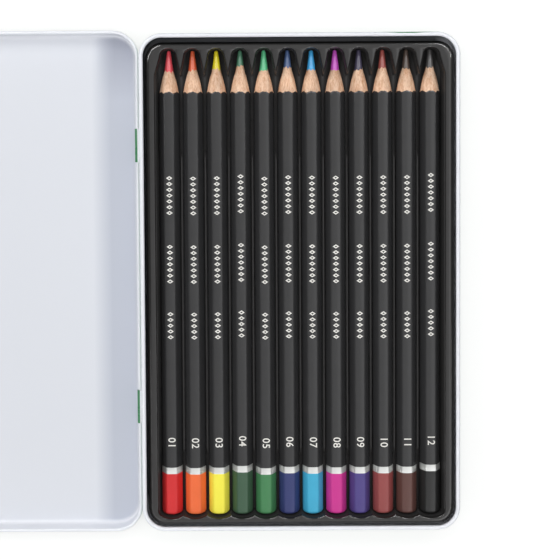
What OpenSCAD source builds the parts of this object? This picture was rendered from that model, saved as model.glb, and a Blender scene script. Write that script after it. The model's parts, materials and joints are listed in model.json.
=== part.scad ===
// Hinged flat tin holding twelve hexagonal colour pencils in a thermoformed tray.
// X runs from the hinge side to the front, Y towards the pencil points, Z up.
// The origin is the centre of the base's underside. The lid lies open, flat on the table.

/* [Pencils] */
// Number of pencils in the row
pencil_count = 12; // [8:1:12]
// Width of the row over the outer pencils' corners; the tin and tray are built round it
row_w = 104.58; // [104:0.2:120]
// Width of a pencil across its flats
pencil_af = 7; // [6.6:0.05:7.2]
// Diameter of the round that takes the edge off a pencil's corners
pencil_corner_d = 7.78; // [7.4:0.02:8]
// Length of a sharpened pencil
pencil_l = 173.8; // [150:0.2:180]
// Diameter of the coloured core
core_d = 3.3; // [2.8:0.1:4]
// Length of core that shows past the wood
lead_l = 7.6; // [5:0.1:9]
// Radius of the rounded point
point_r = 0.75; // [0.4:0.05:1]
// Length of the sharpened wood, from the core to the edge of the lacquer
wood_l = 8.7; // [7.5:0.1:12]
// Length of the short flare where the cut runs out through the lacquer
flare_l = 0.7; // [0.4:0.1:1.5]
// How much the sharpened wood bellies out past a straight cone
belly = 0.4; // [0:0.05:0.5]
// Height of the domed back end
dome_h = 1; // [0.5:0.1:1.5]
// Thickness of the paint and wood behind the core's back end
back_cap = 0.6; // [0.4:0.1:1.5]
// Length of the coloured dip at the back end
dip_l = 15.2; // [8:0.2:25]
// Width of the silver ring in front of the dip
ring_w = 2.4; // [1:0.1:5]
// Radial glue gap between the core and its casing
glue_gap = 0.02; // [0.01:0.01:0.05]

/* [Tray] */
// Thickness of the formed plastic sheet
tray_t = 0.4; // [0.3:0.05:0.5]
// Radial room round a pencil in its channel
channel_play = 0.26; // [0.2:0.02:0.3]
// Height of the channel's centre over the pencil's
pencil_seat = 0.12; // [0.05:0.01:0.15]
// Play at each end of a pencil in its recess
end_play = 0.3; // [0.3:0.05:1]
// Radius of the recess round a pencil's point
point_recess_r = 2.7; // [2:0.1:3.2]
// Length over which the recess narrows to the point
point_taper_l = 9.6; // [6:0.2:14]
// Room between the outer channels and the side walls of the well
well_margin = 0.95; // [0.8:0.05:2]
// Distance from the recesses' back ends to the straight end wall of the well
well_end = 1.3; // [0.8:0.1:2]
// Radius of the rounded back end of each recess in plan
end_arc_r = 7.5; // [7.2:0.1:9]
// Corner radius of the well in plan
well_corner_r = 1.5; // [0.5:0.1:3]
// Depth of the ridges between the pencils below the channels' centre
ridge_drop = 0.7; // [0.4:0.1:1.5]
// Depth of the ridges in the two finger dips
dip_drop = 2.4; // [1.8:0.1:3]
// Length of the finger dip at the back ends
back_dip_l = 22; // [15:0.5:30]
// Length of the finger dip behind the points
front_dip_l = 29.5; // [15:0.5:35]
// Width of the flat land along each side
side_land = 2.25; // [1:0.05:6]
// Width of the flat land past each end of the recesses
end_land = 1.3; // [1:0.05:6]
// Radius of the tray's shoulder, where the land turns down
shoulder_r = 1.3; // [0.8:0.1:2]
// Gap between the tray and the rim's curl, along each side
tray_gap_x = 0.35; // [0.3:0.05:1]
// Gap between the tray and the rim's curl, at each end
tray_gap_y = 0.85; // [0.3:0.05:1.5]
// Gap left where the tray has slid against the rim
tray_rest_gap = 0.2; // [0.2:0.05:0.3]
// Seat gap between the tray and the tin's floor
tray_seat_gap = 0.05; // [0.02:0.01:0.1]

/* [Tin base] */
// Height of the base, from its underside to the top of the rim
tin_h = 12; // [11.5:0.25:16]
// Outer radius of the base's corners in plan
tin_corner_r = 8.5; // [7:0.25:10]
// Thickness of the tinplate
sheet = 0.3; // [0.2:0.02:0.34]
// Outer radius of the bend between floor and wall
floor_bend_r = 1.5; // [0.8:0.1:2]
// Diameter of the rim's curl, rolled inwards
rim_curl_d = 1.6; // [1.2:0.1:1.8]
// How far round the rim is curled, in degrees
rim_curl_turn = 290; // [240:5:310]
// Depth of the tray's land below the rim
land_drop = 1.8; // [1.2:0.1:2.5]

/* [Lid] */
// Clearance between the lid's skirt and the base's wall
lid_gap = 0.3; // [0.25:0.05:0.6]
// Clearance between the lid's panel and the base's rim
head_gap = 0.4; // [0.3:0.05:1]
// Outer radius of the bend between the lid's panel and skirt
lid_bend_r = 1.8; // [1:0.1:2]
// Diameter of the bead rolled outwards along the skirt's edge
bead_d = 1.3; // [1.1:0.05:1.5]
// How far round the bead is rolled, in degrees
bead_turn = 240; // [200:5:270]

/* [Hinge] */
// Distance between the middles of the two tongues
tongue_pitch = 97.6; // [60:0.4:130]
// How far the pair of tongues sits from the middle, towards the points
tongue_shift = 2.4; // [0:0.2:8]
// Width of a tongue
tongue_w = 12.4; // [8:0.2:20]
// Radial running clearance between a tongue and the lid's bead
tongue_play = 0.1; // [0.06:0.01:0.1]
// How far round the bead a tongue is curled, in degrees
tongue_wrap = 210; // [180:5:220]
// Room at each end of a tongue in the lid's slot
slot_room = 0.9; // [0.5:0.1:2]
// Room above and below a tongue in the lid's slot
slot_play = 0.4; // [0.3:0.05:0.6]
// Width of the cut along each side of a tongue in the wall
lance_gap = 0.25; // [0.1:0.05:0.5]

/* [Hidden] */
$fn = 64;
HEX = 6;                       // sides of a pencil
SIDES = [-1, 1];
OVER = 1;                      // how far a cutting body reaches past its face
TURN = 360;
QUARTER = TURN / 4;
UPRIGHT = [QUARTER, 0, 0];     // stands a flat section up, to be drawn out along Y

SHADES = [
    ["red", [0.84, 0.24, 0.26]], ["orange", [0.94, 0.45, 0.29]],
    ["yellow", [1, 0.92, 0.29]], ["dark_green", [0.28, 0.38, 0.31]],
    ["light_green", [0.29, 0.55, 0.35]], ["dark_blue", [0.28, 0.29, 0.49]],
    ["sky_blue", [0.29, 0.71, 0.86]], ["pink", [0.86, 0.24, 0.59]],
    ["purple", [0.35, 0.31, 0.58]], ["dark_red", [0.61, 0.31, 0.31]],
    ["brown", [0.41, 0.28, 0.28]], ["black", [0.2, 0.2, 0.2]],
];
LACQUER = [0.13, 0.13, 0.13];
FOIL = [0.86, 0.86, 0.85];
WOOD = [0.92, 0.76, 0.62];
PLASTIC = [0.18, 0.18, 0.18];
TIN_WHITE = [0.93, 0.93, 0.95];

function casing_name(i) = str(SHADES[i][0], "_pencil_casing");
function core_name(i) = str(SHADES[i][0], "_pencil_core");

// Plan of the row, and of the tray and tin that are built round it
pencil_r = pencil_corner_d / 2;
row_half = row_w / 2 - pencil_r;
pitch = 2 * row_half / (pencil_count - 1);
channel_r = pencil_r + channel_play;
well_half = row_half + channel_r + well_margin;
recess_half = pencil_l / 2 + end_play;
tray_w = 2 * (well_half + side_land + shoulder_r);
tray_l = 2 * (recess_half + end_land + shoulder_r);
tin_w = tray_w + 2 * (tray_gap_x + rim_curl_d);
tin_l = tray_l + 2 * (tray_gap_y + rim_curl_d);
tray_corner_r = tin_corner_r - rim_curl_d - max(tray_gap_x, tray_gap_y) / 2;
tray_x = tray_gap_x - tray_rest_gap;
tray_y = tray_rest_gap - tray_gap_y;

// Heights
tray_z = sheet + tray_seat_gap;
land_z = tin_h - land_drop;
channel_z = tray_z + tray_t + channel_r;
pencil_z = channel_z - pencil_seat;
lid_top = tin_h + head_gap + sheet;

// Hinge: its axis is at half the closed height, so the open lid lies level with the base
hinge_z = lid_top / 2;
bead_r = bead_d / 2;
hinge_x = -(tin_w / 2 + lid_gap + bead_r);
tongue_r = bead_r + tongue_play;
tongue_run = tongue_wrap / TURN * 2 * PI * (tongue_r + sheet / 2) + lid_gap + bead_r;
slot_from = bead_r - slot_play;      // along the skirt from the hinge's axis
slot_to = tongue_r + sheet + slot_play;
function tongue_y(side) = tongue_shift + side * tongue_pitch / 2;

// Ends of the well, where the channels stand open to each other, and centre of the noses
well_back = well_end - recess_half;
channel_front = recess_half - point_taper_l;
point_y = recess_half - point_recess_r;

// ---- shared shapes ----

// A rounded rectangle in plan
module rounded_rect(w, l, r) {
    square([w - 2 * r, l], center = true);
    square([w, l - 2 * r], center = true);
    for (x = SIDES, y = SIDES) translate([x * (w / 2 - r), y * (l / 2 - r)]) circle(r);
}

// Runs a section round a rounded rectangle. The section's x is measured outwards from the
// centre of the corner's arc and its y is the height.
module around(w, l, r) {
    for (k = [0 : 3]) {
        across = k % 2 == 0 ? w : l;
        along = k % 2 == 0 ? l : w;
        rotate(QUARTER * k) translate([across / 2 - r, along / 2 - r, 0]) {
            rotate_extrude(angle = QUARTER) children();
            rotate(UPRIGHT) linear_extrude(along - 2 * r) children();
        }
    }
}

// Part of a ring, from one angle to another; the rest of the circle is cut off as a fan
module ring_part(r, t, from, to) {
    far = 2 * r;
    steps = 4;
    difference() {
        circle(r);
        circle(r - t);
        polygon(concat([[0, 0]], [for (k = [0 : steps])
            let (a = to + (from + TURN - to) * k / steps) far * [cos(a), sin(a)]]));
    }
}

// Section of a sheet that turns from a flat panel at height 0 into a wall whose outer face
// is r from the corner's centre, with a stub that runs into the panel
module bent_edge(r, t, bend_r, stub) {
    translate([r - bend_r, bend_r]) ring_part(bend_r, t, -QUARTER, 0);
    translate([r - bend_r - stub, 0]) square([stub, t]);
}

// ---- tin base ----

module base_section() {
    r = tin_corner_r;
    curl_r = rim_curl_d / 2;
    bent_edge(r, sheet, floor_bend_r, OVER);
    translate([r - sheet, floor_bend_r])
        square([sheet, tin_h - curl_r - floor_bend_r]);
    translate([r - curl_r, tin_h - curl_r]) ring_part(curl_r, sheet, 0, rim_curl_turn);
}

// Tongue lanced from the rear wall, bent out over the bead and curled round it
module tongue() {
    translate([hinge_x, 0, hinge_z]) rotate(UPRIGHT)
        linear_extrude(tongue_w, center = true) {
            ring_part(tongue_r + sheet, sheet, QUARTER, QUARTER + tongue_wrap);
            translate([0, tongue_r]) square([lid_gap + bead_r + sheet, sheet]);
        }
}

// Window that the tongue leaves in the wall below its root
module tongue_window() {
    translate([-tin_w / 2 + sheet / 2, 0, hinge_z + tongue_r - tongue_run / 2])
        cube([4 * sheet, tongue_w + 2 * lance_gap, tongue_run], center = true);
}

module base_tin() {
    color(TIN_WHITE) {
        difference() {
            union() {
                around(tin_w, tin_l, tin_corner_r) base_section();
                linear_extrude(sheet)
                    rounded_rect(tin_w - 2 * floor_bend_r, tin_l - 2 * floor_bend_r,
                                 tin_corner_r - floor_bend_r);
            }
            for (side = SIDES) translate([0, tongue_y(side), 0]) tongue_window();
        }
        for (side = SIDES) translate([0, tongue_y(side), 0]) tongue();
    }
}

// ---- lid ----

lid_w = tin_w + 2 * (lid_gap + sheet);
lid_l = tin_l + 2 * (lid_gap + sheet);
lid_corner_r = tin_corner_r + lid_gap + sheet;

// Section of the lid, upside down: panel at height 0, bead at the top
module lid_section() {
    r = lid_corner_r;
    bead_h = lid_top - hinge_z;
    bent_edge(r, sheet, lid_bend_r, OVER);
    translate([r - sheet, lid_bend_r]) square([sheet, bead_h - lid_bend_r]);
    translate([r - sheet + bead_r, bead_h]) ring_part(bead_r, sheet, TURN / 2 - bead_turn, TURN / 2);
}

// Slot in the rear skirt that the tongue passes through
module tongue_slot() {
    translate([-lid_w / 2 - sheet / 2, -tongue_w / 2 - slot_room,
               lid_top - hinge_z - slot_to])
        cube([2 * sheet, tongue_w + 2 * slot_room, slot_to - slot_from]);
}

// The open lid: panel on the table, its rear skirt beside the base
module lid() {
    color(TIN_WHITE)
        translate([2 * hinge_x, 0, 0]) rotate(TURN / 2) difference() {
            union() {
                around(lid_w, lid_l, lid_corner_r) lid_section();
                linear_extrude(sheet)
                    rounded_rect(lid_w - 2 * lid_bend_r, lid_l - 2 * lid_bend_r,
                                 lid_corner_r - lid_bend_r);
            }
            for (side = SIDES) translate([0, -tongue_y(side), 0]) tongue_slot();
        }
}

// ---- tray ----

// Open-topped U section about the channel's axis
module u_section(r, height) {
    circle(r);
    translate([-r, 0]) square([2 * r, height]);
}

// Section across the row at one height of ridge, grown outwards by e, up to the height top.
// Without a drop it is the channels alone.
module row_section(e, top, drop = 0) {
    for (i = [0 : pencil_count - 1])
        translate([i * pitch - row_half, channel_z]) u_section(channel_r + e, top - channel_z);
    if (drop > 0) {
        floor_z = channel_z - drop - e;
        translate([-well_half - e, floor_z]) square([2 * (well_half + e), top - floor_z]);
    }
}

module stretch(y_from, y_to, e, top, drop = 0) {
    translate([0, y_to, 0]) rotate(UPRIGHT) linear_extrude(y_to - y_from)
        row_section(e, top, drop);
}

// Plan of the hollows: the well, the notches for the back ends, and the tapered recesses
// that run out from it round the points
module hollow_plan(e) {
    translate([0, (well_back + channel_front) / 2])
        rounded_rect(2 * (well_half + e), channel_front - well_back + 2 * e,
                     well_corner_r + e);
    for (i = [0 : pencil_count - 1]) translate([i * pitch - row_half, 0]) {
        intersection() {
            translate([0, end_arc_r - recess_half]) circle(end_arc_r + e);
            translate([-pitch / 2, -recess_half - OVER])
                square([pitch, well_end + 2 * OVER]);
        }
        polygon([[-channel_r - e, channel_front], [channel_r + e, channel_front],
                 [point_recess_r + e, point_y], [-point_recess_r - e, point_y]]);
        translate([0, point_y]) circle(point_recess_r + e);
    }
}

// Everything that is hollowed into the tray: long channels seen end on, cut to their plan.
// Two finger dips lower the ridges between the pencils.
module hollows(e, top) {
    back_dip = well_back + back_dip_l;
    front_dip = channel_front - front_dip_l;
    intersection() {
        linear_extrude(top) hollow_plan(e);
        union() {
            stretch(-recess_half - OVER, back_dip + e, e, top, dip_drop);
            stretch(back_dip + e, front_dip - e, e, top, ridge_drop);
            stretch(front_dip - e, channel_front + e, e, top, dip_drop);
            stretch(channel_front + e, recess_half + OVER, e, top);
        }
    }
}

// Skirt and shoulder of the tray, upside down like the lid
module tray_section() {
    r = tray_corner_r;
    bent_edge(r, tray_t, shoulder_r, OVER);
    translate([r - tray_t, shoulder_r]) square([tray_t, land_z - tray_z - shoulder_r]);
}

module tray() {
    color(PLASTIC) translate([tray_x, tray_y, 0]) difference() {
        union() {
            translate([0, 0, land_z]) mirror([0, 0, 1]) {
                around(tray_w, tray_l, tray_corner_r) tray_section();
                linear_extrude(tray_t)
                    rounded_rect(tray_w - 2 * shoulder_r, tray_l - 2 * shoulder_r,
                                 tray_corner_r - shoulder_r);
            }
            hollows(tray_t, land_z);
        }
        hollows(0, land_z + OVER);
    }
}

// ---- pencils ----

// A pencil lies along Y; its parts are drawn standing on the back end, point upwards
module laid(i) {
    translate([tray_x + i * pitch - row_half, tray_y - pencil_l / 2, pencil_z])
        rotate(-UPRIGHT) children();
}

core_r = core_d / 2;
bore_r = core_r + glue_gap;
collar_z = pencil_l - lead_l - wood_l;      // where the cut meets the flats
cut_z = collar_z - flare_l;                 // where it meets the corners
flat_r = pencil_af / 2;
hex_d = pencil_af / cos(TURN / 2 / HEX);    // over the hexagon's sharp corners

module barrel_section() {
    difference() {
        intersection() {
            circle(d = hex_d, $fn = HEX);
            circle(pencil_r);
        }
        circle(bore_r);
    }
}

// Radius of the sharpened wood at t from 0 at the core to 1 at the flats: a slight belly
function wood_r(t) = core_r + (flat_r - core_r) * t * (1 + belly * (1 - t));

module sharpened_outline() {
    steps = 5;
    lead_z = pencil_l - lead_l;
    polygon(concat(
        [[0, cut_z - OVER], [pencil_r + OVER, cut_z - OVER], [pencil_r + OVER, cut_z],
         [pencil_r, cut_z]],
        [for (k = [steps : -1 : 0]) [wood_r(k / steps), lead_z - wood_l * k / steps]],
        [[0, lead_z]]));
}

module dip_end() {
    dome_r = (pow(pencil_r, 2) + pow(dome_h, 2)) / (2 * dome_h);
    difference() {
        intersection() {
            linear_extrude(dip_l) intersection() {
                circle(d = hex_d, $fn = HEX);
                circle(pencil_r);
            }
            rotate_extrude() intersection() {
                square([pencil_r + OVER, dip_l]);
                union() {
                    translate([0, dome_r]) circle(dome_r, $fn = 128);
                    translate([0, dome_r]) square([dome_r, dip_l]);
                }
            }
        }
        translate([0, 0, back_cap]) cylinder(r = bore_r, h = dip_l);
    }
}

// Lacquered wooden casing with its dipped end, silver ring and sharpened front
module pencil_casing(i) {
    laid(i) {
        color(SHADES[i][1]) dip_end();
        color(FOIL) translate([0, 0, dip_l]) linear_extrude(ring_w) barrel_section();
        color(LACQUER) translate([0, 0, dip_l + ring_w])
            linear_extrude(cut_z - dip_l - ring_w) barrel_section();
        color(WOOD) intersection() {
            translate([0, 0, cut_z]) linear_extrude(pencil_l - cut_z) barrel_section();
            rotate_extrude() sharpened_outline();
        }
    }
}

// Coloured core, from behind the cap to the rounded point
module pencil_core(i) {
    color(SHADES[i][1]) laid(i) {
        translate([0, 0, back_cap]) cylinder(r = core_r, h = pencil_l - lead_l - back_cap);
        translate([0, 0, pencil_l - lead_l])
            cylinder(r1 = core_r, r2 = point_r, h = lead_l - point_r);
        translate([0, 0, pencil_l - point_r]) sphere(point_r);
    }
}

base_tin();
lid();
tray();
for (i = [0 : pencil_count - 1]) {
    pencil_casing(i);
    pencil_core(i);
}
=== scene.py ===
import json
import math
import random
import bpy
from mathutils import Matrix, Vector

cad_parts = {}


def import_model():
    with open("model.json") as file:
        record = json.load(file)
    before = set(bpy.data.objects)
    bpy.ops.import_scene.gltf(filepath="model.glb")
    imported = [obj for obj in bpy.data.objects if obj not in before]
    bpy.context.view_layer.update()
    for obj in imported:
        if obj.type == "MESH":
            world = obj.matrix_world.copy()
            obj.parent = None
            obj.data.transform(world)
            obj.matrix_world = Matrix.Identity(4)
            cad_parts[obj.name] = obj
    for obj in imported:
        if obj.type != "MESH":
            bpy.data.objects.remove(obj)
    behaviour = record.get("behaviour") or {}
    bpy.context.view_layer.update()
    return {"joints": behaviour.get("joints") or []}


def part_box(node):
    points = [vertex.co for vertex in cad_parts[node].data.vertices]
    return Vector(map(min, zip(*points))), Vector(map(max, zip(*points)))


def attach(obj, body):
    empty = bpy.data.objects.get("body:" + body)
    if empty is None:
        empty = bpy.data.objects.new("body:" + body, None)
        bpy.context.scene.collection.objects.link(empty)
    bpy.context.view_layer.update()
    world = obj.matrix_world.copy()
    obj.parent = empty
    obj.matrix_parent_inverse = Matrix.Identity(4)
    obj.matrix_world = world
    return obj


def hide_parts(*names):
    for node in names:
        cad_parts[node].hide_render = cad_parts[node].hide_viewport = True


bl_info = {
    "name": "Colour pencil tin",
    "version": (1, 0, 0),
    "blender": (4, 5, 0),
    "location": "View3D > Sidebar > Pencil tin",
    "description": "Lacquered tinplate, a formed tray and twelve pencils on the packed tin",
    "category": "Object",
}

import bmesh
import bpy
import numpy as np
from bpy.props import (CollectionProperty, FloatProperty, FloatVectorProperty, IntProperty,
                       PointerProperty, StringProperty)
from mathutils import Matrix, Vector

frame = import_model()

MM = 0.001
HEX = 6
TAU = 2 * math.pi
PRINT_BLUR = 0.02 * MM    # half the width over which the green print ends
INK_H = 0.008 * MM    # how far the printed ink stands above and below a flat


# ---------------------------------------------------------------- properties

def length(name, mm, description, low=0.0):
    """A size, written here in millimetres and kept in metres."""
    return FloatProperty(name=name, description=description, default=mm * MM, min=low * MM,
                         unit="LENGTH", precision=5)


def border(name, mm, blur, description):
    """Where a paint changes and half the width of its blur, written in millimetres."""
    return FloatVectorProperty(name=name, description=description, size=2, unit="LENGTH",
                               default=(mm * MM, blur * MM), precision=5)


def angle(name, degrees, description):
    return FloatProperty(name=name, description=description, default=math.radians(degrees),
                         subtype="ANGLE")


def plain(name, value, description):
    return FloatProperty(name=name, description=description, default=value)


def share(name, value, description):
    return FloatProperty(name=name, description=description, default=value, min=0, max=1,
                         subtype="FACTOR")


def shade(name, rgb, description):
    """A display colour, written in the 0 to 255 steps of a paint chart."""
    return FloatVectorProperty(name=name, description=description, subtype="COLOR_GAMMA",
                               size=3, min=0, max=1, default=[c / 255 for c in rgb])


class TinSizes(bpy.types.PropertyGroup):
    sheet: length("Tinplate", 0.3, "Thickness of the tinplate")
    corner_r: length("Corner", 8.5, "Outer corner radius of the base in plan")
    floor_bend_r: length("Floor bend", 1.5, "Outer radius of the bend under the base's wall")
    curl_r: length("Rim curl", 0.8, "Radius of the curl along the base's rim")
    curl_turn: angle("Rim curl turn", 290, "How far round the rim is curled")
    lid_gap: length("Lid gap", 0.3, "Clearance between the lid's skirt and the base")
    lid_bend_r: length("Lid bend", 2.1, "Outer radius of the bend round the lid's panel")
    bead_r: length("Bead", 0.65, "Radius of the bead along the lid's edge")
    bead_turn: angle("Bead turn", 240, "How far round the bead is rolled")
    tongue_w: length("Tongue", 12.4, "Width of a hinge tongue")
    tongue_pitch: length("Tongue pitch", 97.6, "Distance between the two tongues")
    tongue_shift: length("Tongue shift", 2.4, "Shift of the pair of tongues to the points")
    tongue_play: length("Tongue play", 0.1, "Clearance between a tongue and the bead")
    tongue_wrap: angle("Tongue wrap", 210, "How far a tongue is curled round the bead")
    slot_room: length("Slot room", 0.9, "Room at each end of a tongue in its slot")
    slot_play: length("Slot play", 0.4, "Room above and below a tongue in its slot")
    lance_gap: length("Lance gap", 0.25, "Cut along each side of a tongue in the wall")
    corner_steps: IntProperty(name="Corner steps", default=28, min=4,
                              description="Faces round each corner of the tin")


class TraySizes(bpy.types.PropertyGroup):
    sheet: length("Plastic", 0.4, "Thickness of the formed plastic")
    shoulder_r: length("Shoulder", 1.8, "Radius where the land turns down into the skirt")
    channel_r: length("Channel", 4.15, "Radius of a channel")
    channel_z: length("Channel height", 4.9, "Height of the channels' centres")
    ridge_drop: length("Ridge drop", 0.7, "Depth of the ridges below the channels' centres")
    dip_drop: length("Dip drop", 2.4, "Depth of the ridges in the two finger dips")
    back_dip_l: length("Back dip", 22, "Length of the finger dip at the dipped ends")
    front_dip_l: length("Front dip", 29.5, "Length of the finger dip behind the points")
    crown: length("Ridge crown", 0.3, "How far a ridge falls off to its sides")
    dip_crown: length("Dip crown", 0.9, "How far a ridge falls off to its sides in a dip")
    dip_ramp: length("Dip ramp", 1.6, "Half the length over which a ridge sinks into a dip")
    well_margin: length("Well margin", 0.55, "Room beside the outer channels")
    well_end: length("Well end", 1.3, "Depth of the notches behind the pencils")
    well_corner_r: length("Well corner", 1.5, "Corner radius of the well")
    notch_r: length("Notch", 7.5, "Radius of a notch in plan")
    nose_r: length("Nose", 2.7, "Radius of the recess round a point")
    taper_l: length("Taper", 9.6, "Length over which a recess narrows to the point")
    end_play: length("End play", 0.3, "Play at each end of a pencil")
    draft: length("Draft", 0.16, "How far the steep walls lean out")
    edge_r: length("Edge", 0.6, "Rounding where the land turns down into the hollows")


class PencilSizes(bpy.types.PropertyGroup):
    flats: length("Flats", 7, "Width across the flats")
    corners: length("Corners", 7.78, "Width across the rounded corners")
    dome_h: length("Dome", 1, "Height of the domed back end")
    dome_edge: length("Dome edge", 0.75, "Reach of the rounding between dome and barrel")
    dip_l: length("Dip", 15.6, "Length of the coloured dip")
    ring_w: length("Ring", 2.4, "Width of the silver ring")
    smile: length("Smile", 0.2, "How far the paint's edges climb along the sides")
    wood_l: length("Wood", 7.9, "Length of the sharpened wood")
    lead_l: length("Lead", 7.6, "Length of lead where it has its full width")
    lead_r: length("Lead radius", 1.65, "Full radius of the lead")
    flare_l: length("Flare", 0.7, "Length of the scallops where the cut leaves the lacquer")
    belly: share("Belly", 0.45, "How much the sharpened wood swells past a straight cone")
    tip_r: length("Point", 0.75, "Radius of the rounded point")
    bulge: length("Bulge", 0.09, "How far the middle of a flat stands above its edges")
    coat: length("Paint", 0.03, "Step from the lacquer up to the ring and the dip")
    digit_h: length("Digits", 2.7, "Height of the printed numbers")
    print_l: length("Print place", 25.4, "From the back end to the foot of the number")
    mark_l: length("Mark", 1.55, "Length of one printed lozenge")
    mark_w: length("Mark width", 2.4, "Width of one printed lozenge")
    mark_pitch: length("Mark pitch", 2.15, "Distance between the lozenges of a row")


class FinishColours(bpy.types.PropertyGroup):
    white: shade("White lacquer", (245, 247, 253), "Inside of the tin and its rims")
    # painted shade: grey that stands for the shade on the base's inner wall under the rim and
    # round the tray
    well_grey: shade("Base inside", (80, 82, 88), "Inside of the base's wall")
    # painted light and shade: lit and shaded tones of the one white lacquer on the lid's panel,
    # shaded along the hinge and in shadow near the upper corner
    lid_pale: shade("Lid, pale", (226, 229, 236), "Middle of the lid's panel")
    lid_soft: shade("Lid, soft", (193, 198, 210), "Hinge side of the lid's panel")
    lid_deep: shade("Lid, deep", (164, 168, 182), "Lid's panel near its upper corner")
    green: shade("Green lacquer", (62, 134, 88), "Outside of the tin")
    plastic: shade("Tray", (39, 38, 38), "Formed plastic")
    # painted reflection on the near shoulder and painted shade on the far shoulder of the tray
    plastic_pale: shade("Tray, pale", (92, 92, 95), "Formed plastic along its shoulder")
    plastic_deep: shade("Tray, deep", (12, 12, 12), "Formed plastic past the points")
    hollow_dullness: share("Hollows", 0.65, "Roughness added in the tray's hollows")
    lacquer: shade("Black lacquer", (51, 51, 52), "Barrels of the pencils")
    foil: shade("Foil", (191, 192, 190), "Ring in front of the dip")
    wood_light: shade("Pale wood", (255, 220, 190), "Sharpened wood between the grain")
    wood_dark: shade("Grain", (204, 146, 104), "Grain of the sharpened wood")
    cut_edge: shade("Cut edge", (66, 38, 26), "Edge of the lacquer where it was cut")
    ink: shade("Ink", (236, 234, 228), "Printed numbers and lozenges")


class PaintEdges(bpy.types.PropertyGroup):
    print_drop: length("Print, base", 0.55, "From the base's rim down to its green print")
    lid_print_drop: length("Print, lid", 1.1, "From the hinge's pin down to the lid's print")
    # the tongue's white past this green strip, over its flat top by the pin, is a painted
    # highlight
    tongue_print_w: length("Print, tongue", 1, "Width of the green strip on a tongue")
    tongue_print_gap: length("Print, pin", 0.05, "From the hinge's pin to that strip")
    raised_from: border("Raised, from", 31, 5, "Start along X of the base's raised print")
    raised_to: border("Raised, to", 48, 5, "End along X of the raised print")
    raised_past: border("Raised, past", 88, 1, "Start along Y of the raised print")
    raised_by: length("Raised by", 0.4, "How much higher the raised print reaches")
    rear: border("Hinge side", 1, 0.4, "Reach of the lowered print from the base's hinge side")
    rear_drop: length("Lowered by", 3, "How much lower the print ends on the hinge side")
    wobble_h: length("Wobble", 0.15, "Unevenness of the print's upper edge")
    wobble_l: length("Wobble length", 50 / 3, "Length of the waves in that edge")
    # where the base's painted shade ends: white on the rim, the floor, the near wall and the
    # front wall, grey painted shade elsewhere
    base_rim: border("Base rim", -0.95, 0.15, "Lower end of the white rim, from the top")
    floor_top: border("Floor", 2.5, 0.8, "Height up to which the white of the floor reaches")
    floor_far: border("Floor, far", 82, 5, "End along Y of the floor's white")
    floor_left: border("Floor, left", -49, 5, "Start along X of the floor's white")
    near_wall: border("Near wall", -85, 4, "End along Y of the near wall's white")
    front_wall: border("Front wall", 54, 3, "Start along X of the front wall's white")
    # where the lid's painted shade along the hinge and its painted shadow near the upper corner
    # start
    lid_soft: border("Lid, soft", -74.2, 3.5, "Start along X of the lid's soft white")
    lid_deep_past: border("Lid, deep", 78, 10, "Start along Y of the lid's deep white")
    lid_deep_from: border("Lid, corner", -72.5, 3.5, "Start along X of the lid's deep white")
    lid_wall: border("Lid wall", 0.6, 0.3, "Height at which the lid's plain white starts")
    hollow_top: border("Hollows", -1.2, 0.5, "Top of the tray's dull hollows, from its land")
    # where the tray's painted reflection ends and its painted shade starts
    near_shoulder: border("Near shoulder", 0.8, 0.7, "End of the tray's pale near edge")
    far_shoulder: border("Far shoulder", -1.1, 0.5, "Start of the tray's deep far edge")


class StageSettings(bpy.types.PropertyGroup):
    eye: FloatVectorProperty(name="Eye", description="Place of the camera, looking down",
                             size=3, subtype="TRANSLATION", default=(-0.01448, 0.05473, 0.46573))
    lens: plain("Lens", 79.51, "Focal length in millimetres")
    tilt: FloatVectorProperty(name="Tilt", description="Turn of the camera from straight down",
                              size=3, subtype="EULER",
                              default=[math.radians(t) for t in (-2.331, 0.121, -0.346)])
    shift: FloatVectorProperty(name="Shift", description="Shift of the picture's frame",
                               size=2, default=(0.04, -0.1686))
    sky: plain("Sky", 0.35, "Strength of the even light")
    top: plain("Top lamp", 2.75, "Power of the lamp beside the camera")
    far: plain("Far lamp", 3.4, "Power of the lamp past the points")
    near: plain("Near lamp", 0.9, "Power of the lamp past the dips")
    right: plain("Right lamp", 0.6, "Power of the lamp to the right")
    left: plain("Left lamp", 2.5, "Power of the lamp to the left")
    sparkle: plain("Corner lamps", 8.0, "Power of a corner lamp with a share of 1")


class PencilShade(bpy.types.PropertyGroup):
    body: StringProperty(name="Body", description="Body of the packed part")
    number: StringProperty(name="Number", description="Number printed on the barrel")
    dip: shade("Dip", (128, 128, 128), "Coloured dip at the back end")
    lead: shade("Lead", (128, 128, 128), "Coloured core")
    shown: length("Lead shown", 7.6, "Length of lead past the wood")
    ring_shift: length("Ring shift", 0, "Shift of ring and dip towards the point", -5)


# name, dip, lead, lead shown in mm, shift of the ring towards the point in mm
SHADES = [
    ("red", (218, 51, 53), (246, 84, 96), 7.9, 0.3),
    ("orange", (246, 115, 65), (241, 103, 61), 7.5, 0.1),
    ("yellow", (255, 245, 84), (255, 236, 34), 7.1, 0.2),
    ("dark_green", (66, 94, 73), (82, 138, 108), 5.8, 0.8),
    ("light_green", (72, 132, 86), (99, 209, 149), 7.6, -0.1),
    ("dark_blue", (56, 64, 113), (82, 106, 152), 6.4, 0.4),
    ("sky_blue", (72, 177, 214), (71, 185, 251), 7.4, 0.2),
    ("pink", (211, 59, 150), (216, 87, 212), 7.5, 0.1),
    ("purple", (84, 72, 136), (80, 75, 99), 7.4, 0.2),
    ("dark_red", (151, 77, 76), (178, 88, 80), 6.8, 0.2),
    ("brown", (96, 66, 61), (92, 77, 69), 7.1, 0.2),
    ("black", (44, 44, 44), (86, 84, 84), 6.6, 0.9),
]


# ---------------------------------------------------------------- mesh helpers

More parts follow.
